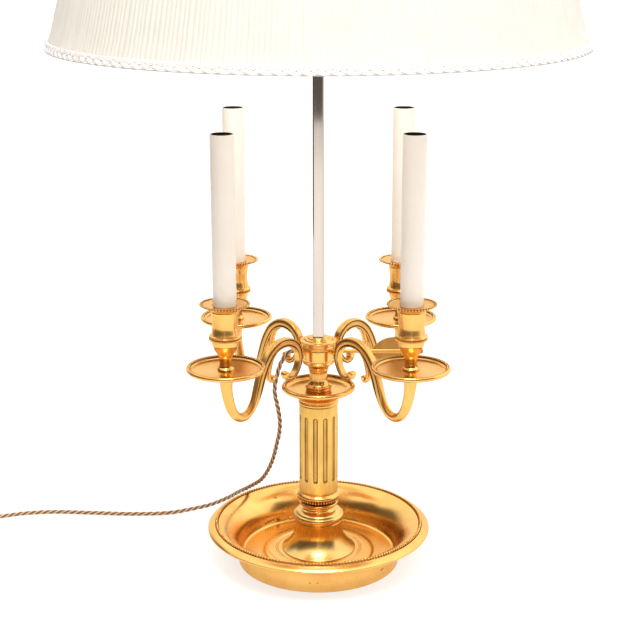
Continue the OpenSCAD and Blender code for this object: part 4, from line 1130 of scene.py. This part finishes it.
def feather():
    """The arrow's fletching: two vanes with slanted barbs, cut from a grid that follows their outline."""
    parts, marks = [], []
    nx, nz = 120, 24
    xs = np.linspace(57, 107, nx)
    ol = catmull(np.array(VANE), 6)
    ztop, xlow = [], []
    # the vane spans, at each height share, from its front edge to its rear edge
    peak = int(np.argmax(ol[:, 1]))
    front, rear = ol[:peak + 1], ol[peak:][::-1]
    hz = np.linspace(0, 16.2, nz)
    x0 = np.interp(hz, front[:, 1], front[:, 0])
    x1 = np.interp(hz, rear[:, 1], rear[:, 0])
    for side in (1, -1):
        grid, dark = [], []
        for k in range(nz):
            share = hz[k] / 16.2
            row = []
            for i in range(nx):
                u = i / (nx - 1)
                x = x0[k] + (x1[k] - x0[k]) * u
                z = hz[k]
                # barbs: ridges that run up and outward
                ph = (x - 0.95 * z + 0.25 * math.sin(0.7 * z)) / 3.15
                ridge = abs((ph % 1.0) - 0.5) * 2
                t = 0.42 + 0.66 * smooth01(ridge * 1.7)
                rim = min(u, 1 - u) * (x1[k] - x0[k])
                t *= smooth01(rim / 0.9) * 0.55 + 0.45
                # painted shade: dark in the furrows between the barbs, near the rim and in a band above the quill
                groove = smooth01((0.46 - ridge) / 0.3)
                if rim < 1.5:
                    groove = smooth01((rim - 0.9) / 0.4) * 0.6
                t *= 1 - 0.45 * share ** 3
                if share < 0.16:
                    t = max(t, 1.05)
                    groove = 0.7 if share > 0.09 else 0.0
                dark.append(groove)
                row.append((x, t, side * z))
            grid.append(row)
        g = np.array(grid)
        v1 = g.reshape(-1, 3).copy()
        v2 = v1.copy()
        v2[:, 1] *= -1
        verts = np.concatenate([v1, v2])
        N = nx * nz
        faces = []
        for k in range(nz - 1):
            for i in range(nx - 1):
                a, b, c_, d = k * nx + i, k * nx + i + 1, (k + 1) * nx + i + 1, (k + 1) * nx + i
                q = (a, b, c_, d) if side < 0 else (d, c_, b, a)
                faces.append(q)
                faces.append(tuple(N + x for x in q[::-1]))
        rim = [(0, i) for i in range(nx)] + [(k, nx - 1) for k in range(1, nz)] + [(nz - 1, i) for i in range(nx - 2, -1, -1)] + [(k, 0) for k in range(nz - 2, 0, -1)]
        rim = [k * nx + i for k, i in rim]
        for i in range(len(rim)):
            a, b = rim[i], rim[(i + 1) % len(rim)]
            q = (a, N + a, N + b, b)
            faces.append(q if side < 0 else q[::-1])
        parts.append((verts, faces))
        marks += dark + dark
    return parts, marks


pr = soften([(0, 6.2), (2.1, 6.2), (2.5, 6.8), (2.5, 20), (3.8, 20), (3.8, 22.4), (2.5, 22.4), (2.3, 26), (2.2, 40), (2.3, 56), (2.7, 58), (2.6, 90), (2.3, 106),
             (1.9, 107.6), (2.6, 108.8), (3.1, 111.4), (2.5, 113.6), (0, 114.5)], 0.25)
sv, sf = lathe(pr, 32)
vanes, vane_marks = feather()
kv, kf = joined([(lying(sv), sf)] + vanes)
key = new_object("key_arrow", kv + np.array([0, 0, 245.5]), kf, gold_key, sharp=60)
marked(key, [0.0] * len(sv) + vane_marks)
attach(key, "key")
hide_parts("arrow_key")

# ------------------------------------------------------------------ CAD nodes that stay
KEEP = {
    "felt_pad": felt_mat, "base_washer": raw_brass, "base_nut": raw_brass, "tie_tube": raw_brass, "holder_stems": raw_brass,
    "lampholders": black_mat, "lampholder_contacts": raw_brass, "rod_stud": raw_brass, "shade_spider": raw_brass, "shade_wires": wire_mat,
    "cord_bush": gold, "switch_base": brown_mat, "switch_cover": brown_mat, "switch_rocker": rocker_mat, "plug_body": brown_mat, "plug_pins": pin_metal}
for n, m in KEEP.items():
    o = nodes[n]
    o.data.materials.clear()
    o.data.materials.append(m)

# ------------------------------------------------------------------ studio
floor_mat, t, sh = material("studio_floor")
sh.inputs["Base Color"].default_value = rgb(0.36, 0.358, 0.353)
sh.inputs["Emission Color"].default_value = rgb(1.0, 0.99, 0.97)
sh.inputs["Emission Strength"].default_value = 0.69
sh.inputs["Roughness"].default_value = 0.9
sh.inputs["Specular IOR Level"].default_value = 0.1
fl = new_object("studio_sweep", [(-1600, -3400, 0), (9000, -3400, 0), (9000, 15000, 0), (-9000, 15000, 0), (-9000, 3500, 0), (-1600, 900, 0)],
                [(0, 1, 2, 3, 4, 5)], floor_mat, smooth=False)

world = bpy.data.worlds.new("studio")
bpy.context.scene.world = world
world.use_nodes = True
wt = world.node_tree
for n in list(wt.nodes):
    wt.nodes.remove(n)
wo = wt.nodes.new("ShaderNodeOutputWorld")
bg = wt.nodes.new("ShaderNodeBackground")
wt.links.new(bg.outputs[0], wo.inputs[0])
wc = node(wt, "ShaderNodeTexCoord").outputs["Generated"]
sep = node(wt, "ShaderNodeSeparateXYZ", {0: wc})
above = ramp(wt, node(wt, "ShaderNodeMapRange", {0: sep.outputs[2], 1: -1.0, 2: 1.0, 3: 0.0, 4: 1.0}).outputs[0],
             [(0.0, grey(0.70)), (0.48, grey(0.70)), (0.62, grey(0.74)), (0.80, grey(0.92)), (1.0, grey(1.0))])
# the dark side of the room: behind the camera and to the left, up to some height
facing = node(wt, "ShaderNodeVectorMath", {0: wc, 1: (-0.216, -0.976, 0.0)}, operation="DOT_PRODUCT")
ahead = node(wt, "ShaderNodeMapRange", {0: facing.outputs["Value"], 1: 0.02, 2: 0.16, 3: 0.0, 4: 1.0}, interpolation_type="SMOOTHSTEP")
under = node(wt, "ShaderNodeMapRange", {0: sep.outputs[2], 1: 0.70, 2: 0.60, 3: 0.0, 4: 1.0}, interpolation_type="SMOOTHSTEP")
over = node(wt, "ShaderNodeMapRange", {0: sep.outputs[2], 1: -0.30, 2: -0.14, 3: 0.0, 4: 1.0}, interpolation_type="SMOOTHSTEP")
# the left side is dim too, low down
left = node(wt, "ShaderNodeMapRange", {0: sep.outputs[0], 1: -0.52, 2: -0.80, 3: 0.0, 4: 1.0}, interpolation_type="SMOOTHSTEP")
low = node(wt, "ShaderNodeMapRange", {0: sep.outputs[2], 1: 0.60, 2: 0.46, 3: 0.0, 4: 0.95}, interpolation_type="SMOOTHSTEP")
side = node(wt, "ShaderNodeMath", {0: left.outputs[0], 1: low.outputs[0]}, operation="MULTIPLY")
wide = node(wt, "ShaderNodeMath", {0: sep.outputs[0]}, operation="ABSOLUTE")
seam = node(wt, "ShaderNodeMapRange", {0: sep.outputs[2], 1: -0.10, 2: 0.02, 3: 0.95, 4: 0.60})
strip = node(wt, "ShaderNodeMapRange", {0: wide.outputs[0], 1: 0.03, 2: 0.16, 3: seam.outputs[0], 4: 1.0}, interpolation_type="SMOOTHSTEP")
band = node(wt, "ShaderNodeMath", {0: ahead.outputs[0], 1: under.outputs[0]}, operation="MULTIPLY")
band = node(wt, "ShaderNodeMath", {0: band.outputs[0], 1: over.outputs[0]}, operation="MULTIPLY")
band = node(wt, "ShaderNodeMath", {0: band.outputs[0], 1: strip.outputs[0]}, operation="MULTIPLY")
band = node(wt, "ShaderNodeMath", {0: band.outputs[0], 1: side.outputs[0]}, operation="MAXIMUM")
mul = node(wt, "ShaderNodeMix", {"Factor": band.outputs[0]}, data_type="RGBA")
wt.links.new(above.outputs[0], mul.inputs[6])
mul.inputs[7].default_value = rgb(0.072, 0.060, 0.052)
wt.links.new(mul.outputs[2], bg.inputs[0])
right = node(wt, "ShaderNodeMapRange", {0: sep.outputs[0], 1: 0.10, 2: 0.75, 3: 1.62, 4: 1.92}, interpolation_type="SMOOTHSTEP")
wt.links.new(right.outputs[0], bg.inputs[1])


def area(name, where, look, size, power, colour=(1, 1, 1), shape="RECTANGLE", size_y=None):
    d = bpy.data.lights.new(name, "AREA")
    d.shape = shape
    d.size = size
    d.size_y = size_y or size
    d.energy = power
    d.color = colour
    o = bpy.data.objects.new(name, d)
    o.location = where
    o.rotation_euler = (Vector(look) - Vector(where)).to_track_quat("-Z", "Y").to_euler()
    bpy.context.scene.collection.objects.link(o)
    return o


area("softbox_top", (0.0, -0.90, 2.30), (0, 0, 0.25), 0.9, 50, (1, 0.99, 0.97))
fill = area("fill_front", (0.3, -2.4, 1.3), (0, 0, 0.45), 1.6, 20, (1, 0.98, 0.955))
fill.visible_glossy = False

scene = bpy.context.scene
scene.view_settings.view_transform = "Standard"
scene.view_settings.look = "None"
scene.view_settings.exposure = 0.0
scene.view_settings.gamma = 1.0
